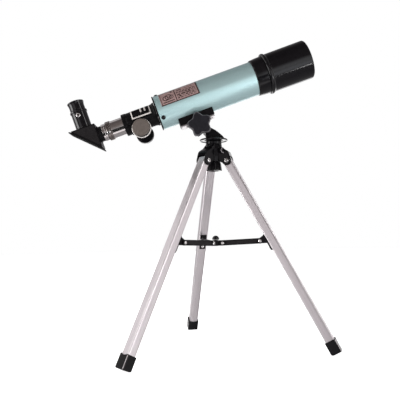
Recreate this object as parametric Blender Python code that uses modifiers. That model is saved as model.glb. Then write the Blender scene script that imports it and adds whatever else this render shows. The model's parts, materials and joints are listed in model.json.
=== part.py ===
"""A 50 mm refracting telescope on a folding table-top tripod, as separate pieces that move.

Metres, +Z up, +X the way the telescope points. The floor is z = 0 and the origin is the middle of
the object's footprint. Sizes below are in millimetres, and each shape function converts them.
"""

import math

import bmesh
import bpy
from mathutils import Matrix, Vector

MM = 0.001
GAP = 0.3  # left between pieces that touch
NAME = "telescope_on_tripod"
BIG, MEDIUM, SMALL, TINY = 32, 24, 16, 10  # flats around a turned piece

# Directions for a shape that is made along Z, and for an outline that is drawn in XY
UP = (0, 0, 0)
ALONG_X = (0, math.pi / 2, 0)
ALONG_Y = (-math.pi / 2, 0, 0)
TO_NEAR_SIDE = (math.pi / 2, 0, 0)  # along -Y
OUTLINE_IN_XZ = (math.pi / 2, 0, 0)

# Whole object
FOOTPRINT_MIDDLE = (-25.0, 23.4)  # middle of the bounding box, from the pan axis
TUBE_ELEVATION = math.radians(19.1)
TILT_AXIS = (-21.0, 339.5)  # x and z
TILT_TO_OPTICAL_AXIS = 42.68
TILT_TO_REAR_PLATE = 54.44

# Optical tube, lengths from the rear plate along the optical axis
TUBE_RADIUS = 26.5
TUBE_WALL = 1.3
TUBE_FRONT = 159.3
CELL_FRONT = 192.0
LENS_SEAT = 176.0
LENS_RADIUS = 25.0
SHIELD_REAR = 178.7
SHIELD_FRONT = 248.6
SHIELD_BORE = 28.4
REAR_SCREW_ANGLES = (-32, 88, 208)  # degrees from the near side, upwards
REAR_SCREW_PLACE = 6.6
PANEL_LENGTH = (10.0, 71.0)
PANEL_ANGLES = (2, 58)

# Focuser
HOUSING_RADIUS = 17.2
HOUSING_WAIST = 16.7
HOUSING_REAR = -54.8
SHOE_GROOVES = (-23.0, -16.4)
SHOE_GROOVE_WIDTH = 2.4
DRAW_TUBE_RADIUS = 13.75
DRAW_TUBE_BORE = 12.2
DRAW_TUBE_ENDS = (-76.2, 10.0)
PINION_PLACE = (-30.0, -18.6)  # along the tube, and below the optical axis
PINION_TEETH = 12
TOOTH_MODULE = 0.65
PRESSURE_ANGLE = math.radians(20)
BACKLASH = 0.24
RACK_ENDS = (-49.5, 3.5)
FOCUS_KNOB_RADIUS = 14.6
FOCUS_KNOB_FACES = (23.5, 34.0)

# Diagonal and eyepiece
EYEPIECE_PLACE = -114.4
PRISM_CORNER = (-96.0, 16.2)
PRISM_SIDE = 42.4
PRISM_HALF_WIDTH = 14.3
COVER_THICKNESS = 2.4
HOLDER_RADIUS = 12.35
HOLDER_BORE = 11.3
HOLDER_TOP = 45.8
EYEPIECE_TOP = 60.6

# Mount
SADDLE_ENDS = (26.5, 82.0)
SADDLE_HALF_WIDTH = 15.0
SADDLE_BOTTOM = -33.0
SADDLE_SCREWS = (38.0, 75.0)
STRIP_THICKNESS = 2.2
TONGUE_RADIUS = 6.4
TONGUE_HALF_WIDTH = 4.0
NECK_HALF_WIDTH = 10.0
NECK_FOOT = 320.1
TILT_KNOB_RADIUS = 19.2
TILT_KNOB_LOBES = 5
TILT_KNOB_FACES = (16.3, 28.0)
DISC_RADIUS = 21.75
SPINDLE_RADIUS = 4.0
HUB_TOP = 316.7
HUB_BOTTOM = 284.2
LOCK_NUT_RADIUS = 11.8
LOCK_NUT_ENDS = (270.8, 283.8)
SET_SCREW_AZIMUTH = -50
SET_SCREW_HEIGHT = 300.6

# Tripod
LEG_AZIMUTHS = {"right": -16.15, "left": -136.15, "rear": 103.85}
LEG_PIVOT = (21.7, 284.9)  # from the pan axis, and height
FOOT_MIDDLE = (174.8, 2.3)
LEG_WIDTH = 14.5
LEG_DEPTH = 13.5
LEG_WALL = 1.3
LEG_TOP = 3.5
CAP_LENGTH = 19.9
HUB_ARM_HALF_WIDTH = 10.5
LINK_OUTER = (68.0, 162.5)
LINK_INNER = (10.0, 160.0)
LINK_HEIGHT = 8.3
EAR_SIDE = (1.3, 3.5)
LINK_SIDE = (3.8, 6.2)

leg_run = FOOT_MIDDLE[0] - LEG_PIVOT[0]
leg_drop = LEG_PIVOT[1] - FOOT_MIDDLE[1]
LEG_LENGTH = math.hypot(leg_run, leg_drop)
LEG_SPLAY = math.atan2(leg_run, leg_drop)
PITCH_RADIUS = TOOTH_MODULE * PINION_TEETH / 2
RACK_PITCH_LINE = PINION_PLACE[1] + PITCH_RADIUS

COLOURS = {  # colour, roughness, metallic
    "mint_paint": ((0.42, 0.66, 0.64), 0.32, 0.55),
    "gloss_black": ((0.012, 0.012, 0.014), 0.18, 0.0),
    "satin_black": ((0.02, 0.02, 0.022), 0.45, 0.0),
    "chrome": ((0.72, 0.70, 0.69), 0.12, 1.0),
    "leg_aluminium": ((0.78, 0.76, 0.76), 0.35, 0.9),
    "screw_steel": ((0.62, 0.61, 0.60), 0.28, 1.0),
    "knob_bronze": ((0.36, 0.31, 0.28), 0.35, 0.8),
    "panel_bronze": ((0.48, 0.33, 0.31), 0.45, 0.3),
    "brass": ((0.68, 0.52, 0.26), 0.3, 1.0),
    "optical_glass": ((0.86, 0.92, 0.96), 0.03, 0.0),
    "mirror": ((0.92, 0.93, 0.94), 0.03, 1.0),
}


def start():
    """Clears the scene and returns the collections for the parts and for the cutters."""
    for obj in list(bpy.data.objects):
        bpy.data.objects.remove(obj)
    found = []
    for name in (NAME, "cutters"):
        collection = bpy.data.collections.new(name)
        bpy.context.scene.collection.children.link(collection)
        found.append(collection)
    return found


parts, cutters = start()


def material(name):
    found = bpy.data.materials.get(name)
    if found:
        return found
    colour, roughness, metallic = COLOURS[name]
    found = bpy.data.materials.new(name)
    found.use_nodes = True
    shader = found.node_tree.nodes["Principled BSDF"]
    shader.inputs["Base Color"].default_value = (*colour, 1)
    shader.inputs["Roughness"].default_value = roughness
    shader.inputs["Metallic"].default_value = metallic
    found.diffuse_color = (*colour, 1)
    return found


def metres(*values):
    return [value * MM for value in values]


def empty(name, parent=None, location=(0, 0, 0), rotation=(0, 0, 0)):
    obj = bpy.data.objects.new(name, None)
    obj.empty_display_size = 0.01
    obj.location = metres(*location)
    obj.rotation_euler = rotation
    obj.parent = parent
    parts.objects.link(obj)
    return obj


def place(obj, finish, parent, location, rotation):
    """Gives an object its material, parent and place. A shape with no finish is a cutter."""
    obj.location = metres(*location)
    obj.rotation_euler = rotation
    obj.parent = parent
    if finish:
        obj.data.materials.append(material(finish))
        parts.objects.link(obj)
    else:
        obj.hide_render = True
        obj.display_type = "WIRE"
        cutters.objects.link(obj)
    return obj


def smooth(obj, angle=35):
    obj.data.shade_smooth()
    obj.data.set_sharp_from_angle(angle=math.radians(angle))


def turned(name, profile, finish, parent, location=(0, 0, 0), rotation=UP, segments=MEDIUM, ring=False):
    """A turned shape. The profile lists radius and height, down its outer side from the top."""
    mesh = bpy.data.meshes.new(name)
    corners = [metres(radius, 0, height) for radius, height in profile]
    edges = [(i, i + 1) for i in range(len(corners) - 1)]
    if ring:
        edges.append((len(corners) - 1, 0))
    mesh.from_pydata(corners, edges, [])
    obj = place(bpy.data.objects.new(name, mesh), finish, parent, location, rotation)
    screw = obj.modifiers.new("Turn", "SCREW")
    screw.steps = screw.render_steps = segments
    screw.use_merge_vertices = True
    screw.merge_threshold = 1e-6
    screw.use_smooth_shade = True
    return obj


def rod(name, radius, start_height, end_height, finish, parent, location=(0, 0, 0), rotation=UP,
        segments=TINY):
    profile = [(0, end_height), (radius, end_height), (radius, start_height), (0, start_height)]
    return turned(name, profile, finish, parent, location, rotation, segments)


def tube(name, outer, inner, start_height, end_height, finish, parent, rotation=UP, segments=MEDIUM):
    profile = [(outer, end_height), (outer, start_height), (inner, start_height), (inner, end_height)]
    return turned(name, profile, finish, parent, rotation=rotation, segments=segments, ring=True)


def plate(name, outlines, thickness, finish, parent, location=(0, 0, 0), rotation=UP):
    """A flat outline with any holes in it, given its thickness about its own plane."""
    curve = bpy.data.curves.new(name, "CURVE")
    curve.dimensions = "2D"
    curve.fill_mode = "BOTH"
    curve.extrude = thickness / 2 * MM
    for outline in outlines:
        spline = curve.splines.new("POLY")
        spline.points.add(len(outline) - 1)
        spline.use_cyclic_u = True
        for point, (x, y) in zip(spline.points, outline):
            point.co = (x * MM, y * MM, 0, 1)
    flat = bpy.data.objects.new(name + "_outline", curve)
    bpy.context.scene.collection.objects.link(flat)
    graph = bpy.context.evaluated_depsgraph_get()
    mesh = bpy.data.meshes.new_from_object(flat.evaluated_get(graph))
    bpy.data.objects.remove(flat)
    shape = bmesh.new()
    shape.from_mesh(mesh)
    bmesh.ops.remove_doubles(shape, verts=shape.verts, dist=1e-6)
    bmesh.ops.recalc_face_normals(shape, faces=shape.faces)
    shape.to_mesh(mesh)
    shape.free()
    mesh.materials.clear()
    obj = bpy.data.objects.new(name, mesh)
    smooth(obj)
    return place(obj, finish, parent, location, rotation)


def block(name, low, high, finish, parent, bevel=0.0):
    """A box between two corners, with its edges rounded if it has a bevel."""
    low, high = Vector(low), Vector(high)
    shape = bmesh.new()
    bmesh.ops.create_cube(shape, size=1, matrix=Matrix.Diagonal((*((high - low) * MM), 1)))
    mesh = bpy.data.meshes.new(name)
    shape.to_mesh(mesh)
    shape.free()
    obj = place(bpy.data.objects.new(name, mesh), finish, parent, (low + high) / 2, UP)
    if bevel:
        round_edges(obj, bevel)
    return obj


def round_edges(obj, width, segments=1):
    bevel = obj.modifiers.new("Edges", "BEVEL")
    bevel.width = width * MM
    bevel.segments = segments
    bevel.limit_method = "ANGLE"
    bevel.angle_limit = math.radians(50)


def combine(target, other, operation="DIFFERENCE"):
    boolean = target.modifiers.new(operation.title(), "BOOLEAN")
    boolean.operation = operation
    boolean.object = other


def drill(target, radius, start_height, end_height, location=(0, 0, 0), rotation=UP, parent=None):
    cutter = rod(f"drill_{target.name}_{len(cutters.objects)}", radius, start_height, end_height, None,
                 parent or target.parent, location, rotation)
    combine(target, cutter)


def weld_on(target, other):
    combine(target, other, "UNION")


def arc(middle, radius, start_angle, end_angle, steps):
    """Points on an arc, with its angles in degrees."""
    angles = [start_angle + (end_angle - start_angle) * i / steps for i in range(steps + 1)]
    return [
        (middle[0] + radius * math.cos(math.radians(a)), middle[1] + radius * math.sin(math.radians(a)))
        for a in angles
    ]


def circle(radius, steps=16, middle=(0, 0)):
    return arc(middle, radius, 0, 360 - 360 / steps, steps - 1)


def rounded_box(half_x, half_y, radius, steps=3):
    outline = []
    for turn, (sx, sy) in enumerate(((1, 1), (-1, 1), (-1, -1), (1, -1))):
        corner = (sx * (half_x - radius), sy * (half_y - radius))
        outline += arc(corner, radius, 90 * turn, 90 * turn + 90, steps)
    return outline


def lobed(middle_radius, swing, lobes, first_angle, steps):
    """A wavy round outline, with its lobes counted from first_angle in degrees."""
    points = []
    for i in range(steps):
        angle = 2 * math.pi * i / steps
        radius = middle_radius + swing * math.cos(lobes * (angle - math.radians(first_angle)))
        points.append((radius * math.cos(angle), radius * math.sin(angle)))
    return points


def around_tube(angle):
    """The turn about X that takes +Z to this many degrees above the near side, -Y."""
    return (math.radians(90 - angle), 0, 0)


# Optical tube

def make_main_tube(optics):
    bore = TUBE_RADIUS - TUBE_WALL
    main = tube("main_tube", TUBE_RADIUS, bore, 1.5, TUBE_FRONT, "mint_paint", optics, ALONG_X, BIG)
    for angle in REAR_SCREW_ANGLES:
        drill(main, 1.7, 15, 35, (REAR_SCREW_PLACE, 0, 0), around_tube(angle))
    for along in SADDLE_SCREWS:
        drill(main, 2.3, -35, -15, (along, 0, 0))


def make_rear_plate(optics):
    spigot = TUBE_RADIUS - TUBE_WALL - GAP
    profile = [
        (spigot, 14), (spigot, 1.2), (TUBE_RADIUS + 0.8, 1.2), (TUBE_RADIUS + 0.8, -0.8),
        (17.5, -0.8), (17.5, 3.2), (20, 4), (20, 14),
    ]
    back = turned("rear_plate", profile, "gloss_black", optics, rotation=ALONG_X, segments=BIG, ring=True)
    for number, angle in enumerate(REAR_SCREW_ANGLES, 1):
        drill(back, 1.7, 15, 35, (REAR_SCREW_PLACE, 0, 0), around_tube(angle))
        seat = TUBE_RADIUS + GAP
        screw_profile = [
            (0, seat + 1.9), (1.9, seat + 1.7), (3.0, seat + 1.0), (3.4, seat), (1.3, seat),
            (1.3, 19.5), (0, 19.5),
        ]
        turned(f"rear_screw_{number}", screw_profile, "satin_black", optics,
               (REAR_SCREW_PLACE, 0, 0), around_tube(angle), TINY)


def make_info_panel(optics):
    """A thin blank panel that follows the tube's near side."""
    mesh = bpy.data.meshes.new("info_panel")
    radius = TUBE_RADIUS + GAP
    mesh.from_pydata([metres(radius, 0, end) for end in PANEL_LENGTH[::-1]], [(0, 1)], [])
    panel = place(bpy.data.objects.new("info_panel", mesh), "panel_bronze", optics, (0, 0, 0), UP)
    # The profile is laid along the tube at its underside, then turned to the panel's upper edge
    start_turn = Matrix.Rotation(math.radians(-90 - PANEL_ANGLES[1]), 4, "X")
    panel.rotation_euler = (start_turn @ Matrix.Rotation(math.pi / 2, 4, "Y")).to_euler()
    screw = panel.modifiers.new("Turn", "SCREW")
    screw.angle = math.radians(PANEL_ANGLES[1] - PANEL_ANGLES[0])
    screw.steps = screw.render_steps = 12
    screw.use_merge_vertices = False
    thick = panel.modifiers.new("Thickness", "SOLIDIFY")
    thick.thickness = 0.4 * MM
    thick.offset = 1


def make_objective(optics):
    spigot = TUBE_RADIUS - TUBE_WALL - GAP
    cell_profile = [
        (SHIELD_BORE - GAP, CELL_FRONT), (SHIELD_BORE - GAP, 178.2), (29.2, 178.0), (28.8, 170),
        (28.0, 161), (27.2, TUBE_FRONT + GAP), (spigot, TUBE_FRONT + GAP), (spigot, 149),
        (22.5, 149), (22.5, 168), (23.8, LENS_SEAT), (LENS_RADIUS + GAP, LENS_SEAT),
        (LENS_RADIUS + GAP, CELL_FRONT),
    ]
    turned("lens_cell", cell_profile, "gloss_black", optics, rotation=ALONG_X, segments=BIG, ring=True)
    back = LENS_SEAT + GAP
    lens_profile = [(radius, back + 6.6 - 2.2 * (radius / LENS_RADIUS) ** 2) for radius in (0, 8, 16, 22)]
    lens_profile += [(LENS_RADIUS, back + 4.4), (LENS_RADIUS, back), (0, back)]
    turned("objective_lens", lens_profile, "optical_glass", optics, rotation=ALONG_X, segments=BIG)
    tube("lens_retaining_ring", LENS_RADIUS, 23.4, back + 7, back + 11, "satin_black", optics, ALONG_X, BIG)


def make_dew_shield(optics):
    profile = [
        (29.0, SHIELD_FRONT), (29.9, SHIELD_FRONT - 0.5), (30.3, SHIELD_FRONT - 2), (29.9, 184.4),
        (31.6, 183.4), (32.2, 181.2), (31.6, 179.3), (30.6, SHIELD_REAR), (SHIELD_BORE, SHIELD_REAR),
        (SHIELD_BORE, SHIELD_FRONT - 0.5),
    ]
    turned("dew_shield", profile, "gloss_black", optics, rotation=ALONG_X, segments=BIG, ring=True)


# Focuser

def make_housing(optics):
    profile = [
        (18.3, -1.1), (18.3, -3.2), (17.2, -5.2), (HOUSING_WAIST, -7.8), (HOUSING_WAIST, -48),
        (HOUSING_RADIUS, -48.8), (HOUSING_RADIUS, HOUSING_REAR + 0.6), (HOUSING_RADIUS - 0.6, HOUSING_REAR),
        (DRAW_TUBE_RADIUS + GAP, HOUSING_REAR), (DRAW_TUBE_RADIUS + GAP, -1.1),
    ]
    housing = turned("focuser_housing", profile, "satin_black", optics, rotation=ALONG_X, segments=MEDIUM,
                     ring=True)
    along, below = PINION_PLACE
    cradle = block("cradle", (along - 7.5, -10.5, below - 7), (along + 7.5, 10.5, -14.6), None, optics, 2)
    weld_on(housing, cradle)
    keyway = block("keyway", (HOUSING_REAR - 2, -2.5, -16.1), (1, 2.5, -10), None, optics)
    combine(housing, keyway)
    drill(housing, 5.2, -2.6, 2.6, (along, 0, below), ALONG_Y)
    drill(housing, 2.2, -15, 15, (along, 0, below), ALONG_Y)


def make_accessory_shoe(optics):
    """The raised pad on the housing's near upper side, with grooves across its front half."""
    turn = empty("shoe_side", optics, rotation=around_tube(25))
    shoe = block("accessory_shoe", (-39, -8.6, 13.8), (-8.4, 6.6, 18.6), "satin_black", turn, 0.6)
    seat = rod("shoe_seat", HOUSING_WAIST + GAP, -45, 0, None, optics, rotation=ALONG_X, segments=MEDIUM)
    combine(shoe, seat)
    half = SHOE_GROOVE_WIDTH / 2
    for along in SHOE_GROOVES:
        groove = block("shoe_groove", (along - half, -1.5, 17.4), (along + half, 9, 20), None, turn)
        combine(shoe, groove)


def involute_angle(radius):
    base = PITCH_RADIUS * math.cos(PRESSURE_ANGLE)
    steep = math.acos(min(1, base / radius))
    return math.tan(steep) - steep


def pinion_outline():
    """A pinion with a space between two teeth at the top, facing the rack."""
    tip, root = PITCH_RADIUS + 0.58, PITCH_RADIUS - 0.62
    base = PITCH_RADIUS * math.cos(PRESSURE_ANGLE)
    half_tooth = math.pi / (2 * PINION_TEETH) - BACKLASH / (4 * PITCH_RADIUS)
    at_pitch = involute_angle(PITCH_RADIUS)
    flank = [root] + [base + (tip - base) * i / 3 for i in range(4)]
    half = [(radius, half_tooth + at_pitch - involute_angle(max(radius, base))) for radius in flank]
    outline = []
    for tooth in range(PINION_TEETH):
        middle = math.pi / 2 + (tooth + 0.5) * 2 * math.pi / PINION_TEETH
        for side in (-1, 1):
            for radius, angle in half[::-side]:
                turn = middle + side * angle
                outline.append((radius * math.cos(turn), radius * math.sin(turn)))
    return outline


def rack_outline():
    """A rack along X with its teeth down, one of them over the pinion's axis."""
    pitch = math.pi * TOOTH_MODULE
    slope = math.tan(PRESSURE_ANGLE)
    half_pitch_line = pitch / 4 - BACKLASH / 4
    tip, root = RACK_PITCH_LINE - 0.46, RACK_PITCH_LINE + 0.7
    half_tip, half_root = half_pitch_line - 0.46 * slope, half_pitch_line + 0.7 * slope
    back = -DRAW_TUBE_RADIUS + 0.25
    first = math.ceil((RACK_ENDS[0] - PINION_PLACE[0] + half_root) / pitch)
    last = math.floor((RACK_ENDS[1] - PINION_PLACE[0] - half_root) / pitch)
    outline = [(RACK_ENDS[1], back), (RACK_ENDS[0], back), (RACK_ENDS[0], root)]
    for tooth in range(first, last + 1):
        middle = PINION_PLACE[0] + tooth * pitch
        outline += [(middle - half_root, root), (middle - half_tip, tip)]
        outline += [(middle + half_tip, tip), (middle + half_root, root)]
    return outline + [(RACK_ENDS[1], root)]


def make_draw_tube(slide):
    draw = tube("draw_tube", DRAW_TUBE_RADIUS, DRAW_TUBE_BORE, *DRAW_TUBE_ENDS, "chrome", slide, ALONG_X)
    groove_floor = -DRAW_TUBE_RADIUS + 0.55
    groove = block("rack_groove", (RACK_ENDS[0] - 0.5, -2.3, -16), (RACK_ENDS[1] + 0.5, 2.3, groove_floor),
                   None, slide)
    combine(draw, groove)
    plate("focus_rack", [rack_outline()], 4.0, "brass", slide, rotation=OUTLINE_IN_XZ)
    collar_profile = [
        (14.4, -74.3), (15.0, -74.9), (15.0, -81.4), (14.4, -82.0), (12.3, -82.0), (12.3, -76.6),
        (DRAW_TUBE_RADIUS + GAP, -76.6), (DRAW_TUBE_RADIUS + GAP, -74.3),
    ]
    collar = turned("draw_tube_collar", collar_profile, "chrome", slide, rotation=ALONG_X, segments=MEDIUM,
                    ring=True)
    screw_turn = empty("collar_screw_turn", slide, (-79.2, 0, 0), around_tube(-19))
    drill(collar, 1.6, 11, 17, parent=screw_turn)
    profile = [(0, 16.9), (2.2, 16.9), (2.6, 16.5), (2.6, 15.3), (1.3, 15.3), (1.3, 12.4), (0, 12.4)]
    turned("collar_screw", profile, "screw_steel", screw_turn, segments=TINY)


def make_pinion(axis):
    """Built about its own axis, which runs along Y."""
    shaft_end = 31
    shaft_radius = 1.9
    shaft = rod("pinion_shaft", shaft_radius, -shaft_end, shaft_end, "brass", axis, rotation=ALONG_Y)
    gear = plate("pinion_teeth", [pinion_outline()], 4.4, None, axis, rotation=OUTLINE_IN_XZ)
    weld_on(shaft, gear)
    inner, outer = FOCUS_KNOB_FACES
    radius = FOCUS_KNOB_RADIUS
    bore = shaft_radius + GAP
    bore_end = shaft_end + GAP
    profile = [
        (0, outer - 0.5), (radius - 2.2, outer - 0.5), (radius - 1.6, outer), (radius - 0.6, outer),
        (radius, outer - 0.8), (radius, inner + 1.5), (radius - 1, inner + 0.4), (6, inner), (bore, inner),
        (bore, bore_end), (0, bore_end),
    ]
    turned("focus_knob_near", profile, "knob_bronze", axis, rotation=TO_NEAR_SIDE, segments=MEDIUM)
    turned("focus_knob_far", profile, "satin_black", axis, rotation=ALONG_Y, segments=MEDIUM)


# Diagonal and eyepiece

def triangle(corner, side):
    """The corner of a right-angled prism, with its two square sides along -X and -Z."""
    x, z = corner
    return [(x, z), (x - side, z), (x, z - side)]


def make_diagonal(turn):
    nose_profile = [
        (11.9, -64), (11.9, -82.3), (13.4, -82.4), (13.4, -88.6), (12.8, -89.3), (10.5, -89.3), (10.5, -64),
    ]
    turned("diagonal_nose", nose_profile, "chrome", turn, rotation=ALONG_X, segments=MEDIUM, ring=True)
    x, z = PRISM_CORNER
    side = PRISM_SIDE - COVER_THICKNESS * math.sqrt(2)
    housing = plate("diagonal_housing", [triangle(PRISM_CORNER, side)], 2 * PRISM_HALF_WIDTH, "satin_black",
                    turn, rotation=OUTLINE_IN_XZ)
    neck = rod("diagonal_neck", 12.0, x - 3, -89.6, None, turn, rotation=ALONG_X, segments=MEDIUM)
    weld_on(housing, neck)
    # The cavity runs out through the slanted side, short of the two tips, where the cover closes it
    wall = 2.0
    tip = PRISM_SIDE - wall
    inside = [(x - wall, z - wall), (x - tip, z - wall), (x - tip, z - tip), (x - wall, z - tip)]
    cavity = plate("diagonal_cavity", [inside], 2 * (PRISM_HALF_WIDTH - wall), None, turn,
                   rotation=OUTLINE_IN_XZ)
    combine(housing, cavity)
    drill(housing, 10.2, x - 8, -85, rotation=ALONG_X)
    drill(housing, HOLDER_BORE, 10, 25, (EYEPIECE_PLACE, 0, 0))
    step = side + GAP * math.sqrt(2)
    cover = [(x - step, z), (x - PRISM_SIDE, z), (x, z - PRISM_SIDE), (x, z - step)]
    plate("diagonal_cover", [cover], 2 * PRISM_HALF_WIDTH, "satin_black", turn, rotation=OUTLINE_IN_XZ)
    make_mirror(turn, side)


def make_mirror(turn, side):
    """The mirror lies just inside the cover, and turns the light up into the eyepiece."""
    x, z = PRISM_CORNER
    back = empty("mirror_back", turn, (x - side / 2, 0, z - side / 2), (0, math.radians(45), 0))
    block("diagonal_mirror", (-14, -11.5, 0.2), (14, 11.5, 2.8), "mirror", back)


def make_eyepiece_holder(turn):
    top = HOLDER_TOP
    low = PRISM_CORNER[1] + GAP
    profile = [
        (12.9, top), (13.4, top - 0.6), (13.4, top - 2.6), (HOLDER_RADIUS, top - 3.3), (HOLDER_RADIUS, low),
        (HOLDER_BORE, low), (HOLDER_BORE, top),
    ]
    at = (EYEPIECE_PLACE, 0, 0)
    holder = turned("eyepiece_holder", profile, "gloss_black", turn, at, segments=MEDIUM, ring=True)
    screw_turn = empty("holder_screw_turn", turn, (EYEPIECE_PLACE, 0, 36.4), TO_NEAR_SIDE)
    drill(holder, 1.7, 8, 20, parent=screw_turn)
    profile = [(0, 15.0), (3.0, 15.0), (3.4, 14.5), (3.4, 12.9), (1.4, 12.9), (1.4, 11.35), (0, 11.35)]
    turned("holder_screw", profile, "screw_steel", screw_turn, segments=SMALL)


def make_eyepiece(slide):
    """Built about its own axis. The slide's origin is on it, at the optical axis."""
    low = HOLDER_TOP + GAP
    top = EYEPIECE_TOP
    body_profile = [
        (12.3, top), (13.0, top - 0.6), (12.9, top - 1.6), (12.2, top - 3.6), (11.9, top - 6),
        (11.9, low + 0.8), (11.5, low), (9.2, low), (9.2, top - 4.6), (6.2, top - 3.6), (8.6, top - 0.2),
    ]
    turned("eyepiece_body", body_profile, "gloss_black", slide, segments=MEDIUM, ring=True)
    tube("eyepiece_barrel", 11.0, 9.8, 24, low - GAP, "chrome", slide, segments=MEDIUM)
    lens_low = top - 5.0
    lens_profile = [(0, lens_low - 0.2), (4, lens_low - 0.4), (8.8, lens_low - 1.4), (8.8, lens_low - 3.4),
                    (0, lens_low - 3.4)]
    turned("eye_lens", lens_profile, "optical_glass", slide, segments=SMALL)


# Mount

def make_saddle(optics):
    near, far = -SADDLE_HALF_WIDTH, SADDLE_HALF_WIDTH
    saddle = block("saddle_block", (SADDLE_ENDS[0], near, SADDLE_BOTTOM), (SADDLE_ENDS[1], far, -18),
                   "satin_black", optics, 0.5)
    seat = rod("saddle_seat", TUBE_RADIUS + GAP, 10, 100, None, optics, rotation=ALONG_X, segments=BIG)
    combine(saddle, seat)
    strip_top = SADDLE_BOTTOM - GAP
    strip_low = strip_top - STRIP_THICKNESS
    strip = block("tilt_lug", (SADDLE_ENDS[0] + 0.6, -12, strip_low), (SADDLE_ENDS[1] - 0.6, 12, strip_top),
                  "leg_aluminium", optics)
    middle = (TILT_TO_REAR_PLATE, -TILT_TO_OPTICAL_AXIS)
    outline = arc(middle, TONGUE_RADIUS, 180, 360, 14)
    outline += [(middle[0] + TONGUE_RADIUS, strip_low + 1), (middle[0] - TONGUE_RADIUS, strip_low + 1)]
    tongue = plate("tongue", [outline], 2 * TONGUE_HALF_WIDTH, None, optics, rotation=OUTLINE_IN_XZ)
    weld_on(strip, tongue)
    drill(strip, 2.6, -8, 8, (middle[0], 0, middle[1]), ALONG_Y)
    screw_profile = [
        (0, -22.4), (2.6, -22.6), (3.6, -23.6), (3.6, -24.6), (2.0, -24.6), (2.0, strip_low), (0, strip_low),
    ]
    for where, along in zip(("rear", "front"), SADDLE_SCREWS):
        for piece in (saddle, strip):
            drill(piece, 2.3, -45, -15, (along, 0, 0))
        turned(f"saddle_screw_{where}", screw_profile, "screw_steel", optics, (along, 0, 0), segments=TINY)


def make_neck(pan):
    """The neck leans back from the disc to the tilt axis, and its cheeks hold the tongue."""
    x, z = TILT_AXIS
    outline = [(16.4, NECK_FOOT), (13.8, 323.4), (10.4, 326.6), (6.8, 329.8), (2.8, 332.8), (-1.6, 335.3),
               (-6.4, 337.9), (-11.4, 340.8)]
    outline += arc(TILT_AXIS, TONGUE_RADIUS, 40, 230, 14)
    outline += [(-16.6, 330.8), (-12.4, 326.4), (-12.0, NECK_FOOT)]
    neck = plate("neck", [outline], 2 * NECK_HALF_WIDTH, "gloss_black", pan, rotation=OUTLINE_IN_XZ)
    round_edges(neck, 1.2)
    slot_half = TONGUE_HALF_WIDTH + 0.4
    slot = block("neck_slot", (x - 14, -slot_half, z - 8.3), (x + 14.5, slot_half, z + 12), None, pan)
    combine(neck, slot)
    drill(neck, 2.6, -20, 20, (x, 0, z), ALONG_Y)
    drill(neck, SPINDLE_RADIUS + GAP, 310, 327.4)
    rod("pan_spindle", SPINDLE_RADIUS, 272.5, 327, "screw_steel", pan, segments=SMALL)
    bolt = rod("tilt_bolt", 2.3, -12, 24, "screw_steel", pan, (x, 0, z), TO_NEAR_SIDE, SMALL)
    head = plate("tilt_bolt_head", [circle(5.2, 6)], 4, None, pan, (x, NECK_HALF_WIDTH + GAP + 2, z),
                 OUTLINE_IN_XZ)
    weld_on(bolt, head)


def make_tilt_knob(axis):
    inner, outer = TILT_KNOB_FACES
    swing = 2.4
    star = lobed(TILT_KNOB_RADIUS - swing, swing, TILT_KNOB_LOBES, 36, 40)
    knob = plate("tilt_knob", [star], outer - inner, "satin_black", axis, (0, -(inner + outer) / 2, 0),
                 OUTLINE_IN_XZ)
    round_edges(knob, 1.2)
    boss_end = NECK_HALF_WIDTH + 0.4
    boss = rod("tilt_knob_boss", 6.6, boss_end, inner + 2, None, axis, rotation=TO_NEAR_SIDE, segments=SMALL)
    weld_on(knob, boss)
    drill(knob, 2.3 + GAP, 5, 24.3, rotation=TO_NEAR_SIDE)


def make_pan_parts(root, lock_axis):
    disc_profile = [
        (20.6, 319.8), (DISC_RADIUS, 319.0), (DISC_RADIUS, 317.5), (20.6, 317.3), (19.6, 318.1),
        (14.6, 318.0), (13.4, 317.0),
        (SPINDLE_RADIUS + GAP, 317.0), (SPINDLE_RADIUS + GAP, 319.8),
    ]
    turned("pan_disc", disc_profile, "gloss_black", root, segments=BIG, ring=True)
    low, high = LOCK_NUT_ENDS
    ribs = lobed(LOCK_NUT_RADIUS - 0.5, 0.5, 12, 0, 48)
    plate("pan_lock_nut", [ribs, circle(SPINDLE_RADIUS + GAP, SMALL)], high - low, "satin_black", lock_axis,
          (0, 0, (low + high) / 2 - HUB_BOTTOM))


# Tripod

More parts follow.
